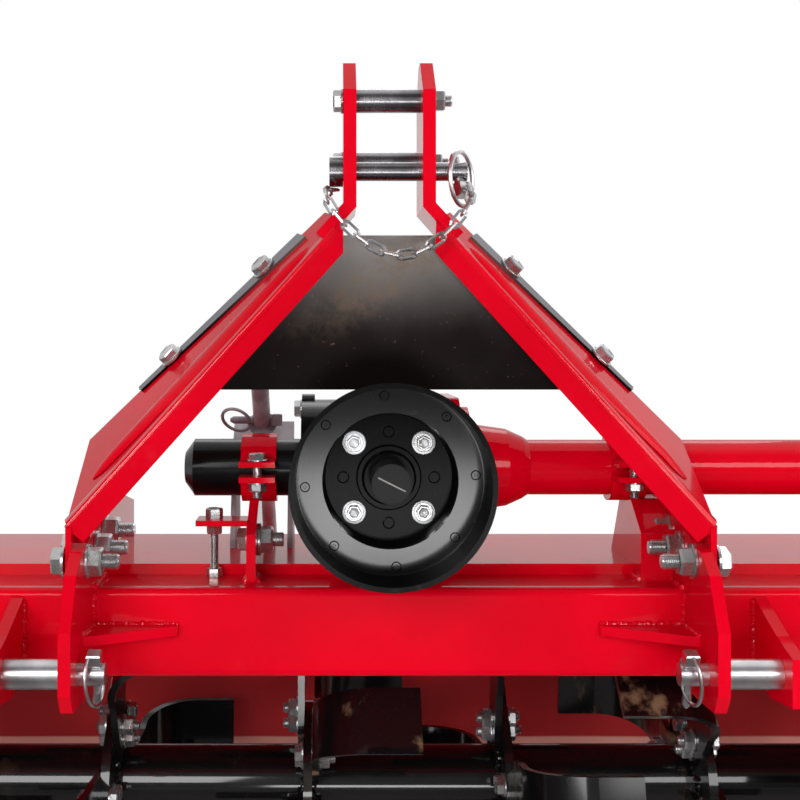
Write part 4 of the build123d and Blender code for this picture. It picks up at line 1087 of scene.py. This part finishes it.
place = ground.node("ShaderNodeTexCoord", out="Object")
distance = ground.node("ShaderNodeVectorMath", {"operation": "LENGTH"}, {0: place}, out="Value")
far = distance.between(FADE_NEAR, FADE_FAR)
speckle = noise(ground, 30.0, 3.0)
depth = ground.node("ShaderNodeSeparateXYZ", None, {"Vector": place}, out="Y")
behind = depth.between(CLOTH_EDGE, PAPER_EDGE)
mirrored = ground.node("ShaderNodeLightPath", out="Is Glossy Ray")
pale = blend(ground, speckle, tint(228, 228, 228), tint(238, 238, 238))
ground.feed(Base_Color=blend(ground, mirrored * (1 - behind), pale, tint(90, 90, 90)))
glow = ground.node("ShaderNodeEmission", None, {"Color": (1, 1, 1, 1), "Strength": 1.0})
shades = {0: background_rays(ground, behind) * far, 1: Field(ground, ground.shader.outputs[0]), 2: glow}
mixed = ground.node("ShaderNodeMixShader", None, shades)
ground.tree.links.new(mixed.socket, ground.tree.nodes["Material Output"].inputs["Surface"])
floor.data.materials.append(ground.material)
print("floor", floor.name)

# %% [markdown]
# ## The room
# Behind the machine hangs white paper, so mirrored rays that leave backwards or upwards meet white. The
# room in front, where the photographer stands, is dim: that keeps faces turned to the viewer pure in
# colour and gives zinc its dark bands. The world's light follows that by direction, while the camera
# itself always sees white.

# %% World
class Room(Finish):
    """The world's node tree, built with the same words as a finish."""

    def __init__(self, name):
        world = bpy.data.worlds.new(name)
        world.use_nodes = True
        bpy.context.scene.world = world
        self.material = world
        self.tree = world.node_tree
        self.shader = self.tree.nodes["Background"]


UPWARD_SHARE, PAPER_FROM, PAPER_TO = 0.6, -0.15, 0.55
FRONT_DIM, PAPER_WHITE, SOFT_LIGHT = 0.1, 0.75, 0.3
room = Room("studio_room")
outlook = room.node("ShaderNodeTexCoord", out="Generated")
backwards = room.node("ShaderNodeSeparateXYZ", None, {"Vector": outlook}, out="Y")
upwards = room.node("ShaderNodeSeparateXYZ", None, {"Vector": outlook}, out="Z")
paper = (backwards + UPWARD_SHARE * upwards).between(PAPER_FROM, PAPER_TO)
straight = room.node("ShaderNodeLightPath", out="Is Camera Ray")
straight = straight + room.node("ShaderNodeLightPath", out="Is Transmission Ray")
mirrored_rays = room.node("ShaderNodeLightPath", out="Is Glossy Ray")
paper_seen = mirrored_rays * (FRONT_DIM + PAPER_WHITE * paper)
soft_light = (1 - mirrored_rays) * SOFT_LIGHT
room.feed(Color=(1, 1, 1, 1), Strength=straight + (1 - straight) * (paper_seen + soft_light))
print("world", room.material.name)

# %% [markdown]
# ## Lamps
# The key lamp stands high in front, above the camera, so that upright faces are bright without
# mirroring it. A smaller one stands opposite: it draws the bright lines along the drive tube and the
# right leg's fold. A box overhead and one at the side fill the shadows, and one behind lights the
# tailgate. A small strip near the floor is there for its mirror image alone: it is the pale crescent on
# the shield's flat ring.

# %% Lamps
def soft_lamp(name, place, target, size, power):
    data = bpy.data.lights.new(name, "AREA")
    data.shape = "RECTANGLE"
    data.size, data.size_y = size
    data.energy = power
    lamp = bpy.data.objects.new(name, data)
    bpy.context.scene.collection.objects.link(lamp)
    lamp.location = place
    lamp.rotation_euler = (Vector(target) - Vector(place)).to_track_quat("-Z", "Y").to_euler()


soft_lamp("key_softbox", (-1.4, -3.2, 1.5), (0, 0, 0.6), (2.0, 1.2), 59)
soft_lamp("second_softbox", (1.5, -3.2, 1.4), (0, 0, 0.6), (1.4, 1.0), 27)
soft_lamp("overhead_softbox", (0, 0.2, 3.2), (0, 0, 0.5), (3.0, 1.6), 3)
soft_lamp("side_softbox", (3.0, -1.0, 1.6), (0, 0, 0.5), (1.2, 2.0), 24)
soft_lamp("rear_softbox", (0.4, 2.4, 3.2), (0, 0.2, 0.3), (2.4, 1.2), 22)
soft_lamp("low_strip", (0.08, -3.2, 0.19), (0, 0, 0.5), (0.8, 0.36), 9)

# %% [markdown]
# ## The camera
# The picture was taken level, from in front of the machine and a little to one side, and then cropped.
# A level camera with a shifted lens keeps the mast's plates upright; its place and focal length were
# fitted to points that show in the picture, such as the hitch pins, the mast's edges and the rotor's
# flanges.

# %% Camera
FOCAL_PX, CENTRE_X, CENTRE_Y, PICTURE = 1264.8, 332.4, 345.9, 800
CAMERA_X, CAMERA_Y, CAMERA_Z = -56.9, -1275.8, 758.7
SENSOR = 36
camera_data = bpy.data.cameras.new("photo_camera")
camera = bpy.data.objects.new("photo_camera", camera_data)
bpy.context.scene.collection.objects.link(camera)
camera.location = spot(CAMERA_X, CAMERA_Y, CAMERA_Z)
camera.rotation_euler = (math.pi / 2, 0, 0)
camera_data.sensor_width = SENSOR
camera_data.lens = SENSOR * FOCAL_PX / PICTURE
camera_data.shift_x = (PICTURE / 2 - CENTRE_X) / PICTURE
camera_data.shift_y = (CENTRE_Y - PICTURE / 2) / PICTURE
bpy.context.scene.camera = camera
bpy.context.scene.view_settings.view_transform = "Standard"
print("lens", round(camera_data.lens, 2))
print("shift", round(camera_data.shift_x, 4), round(camera_data.shift_y, 4))
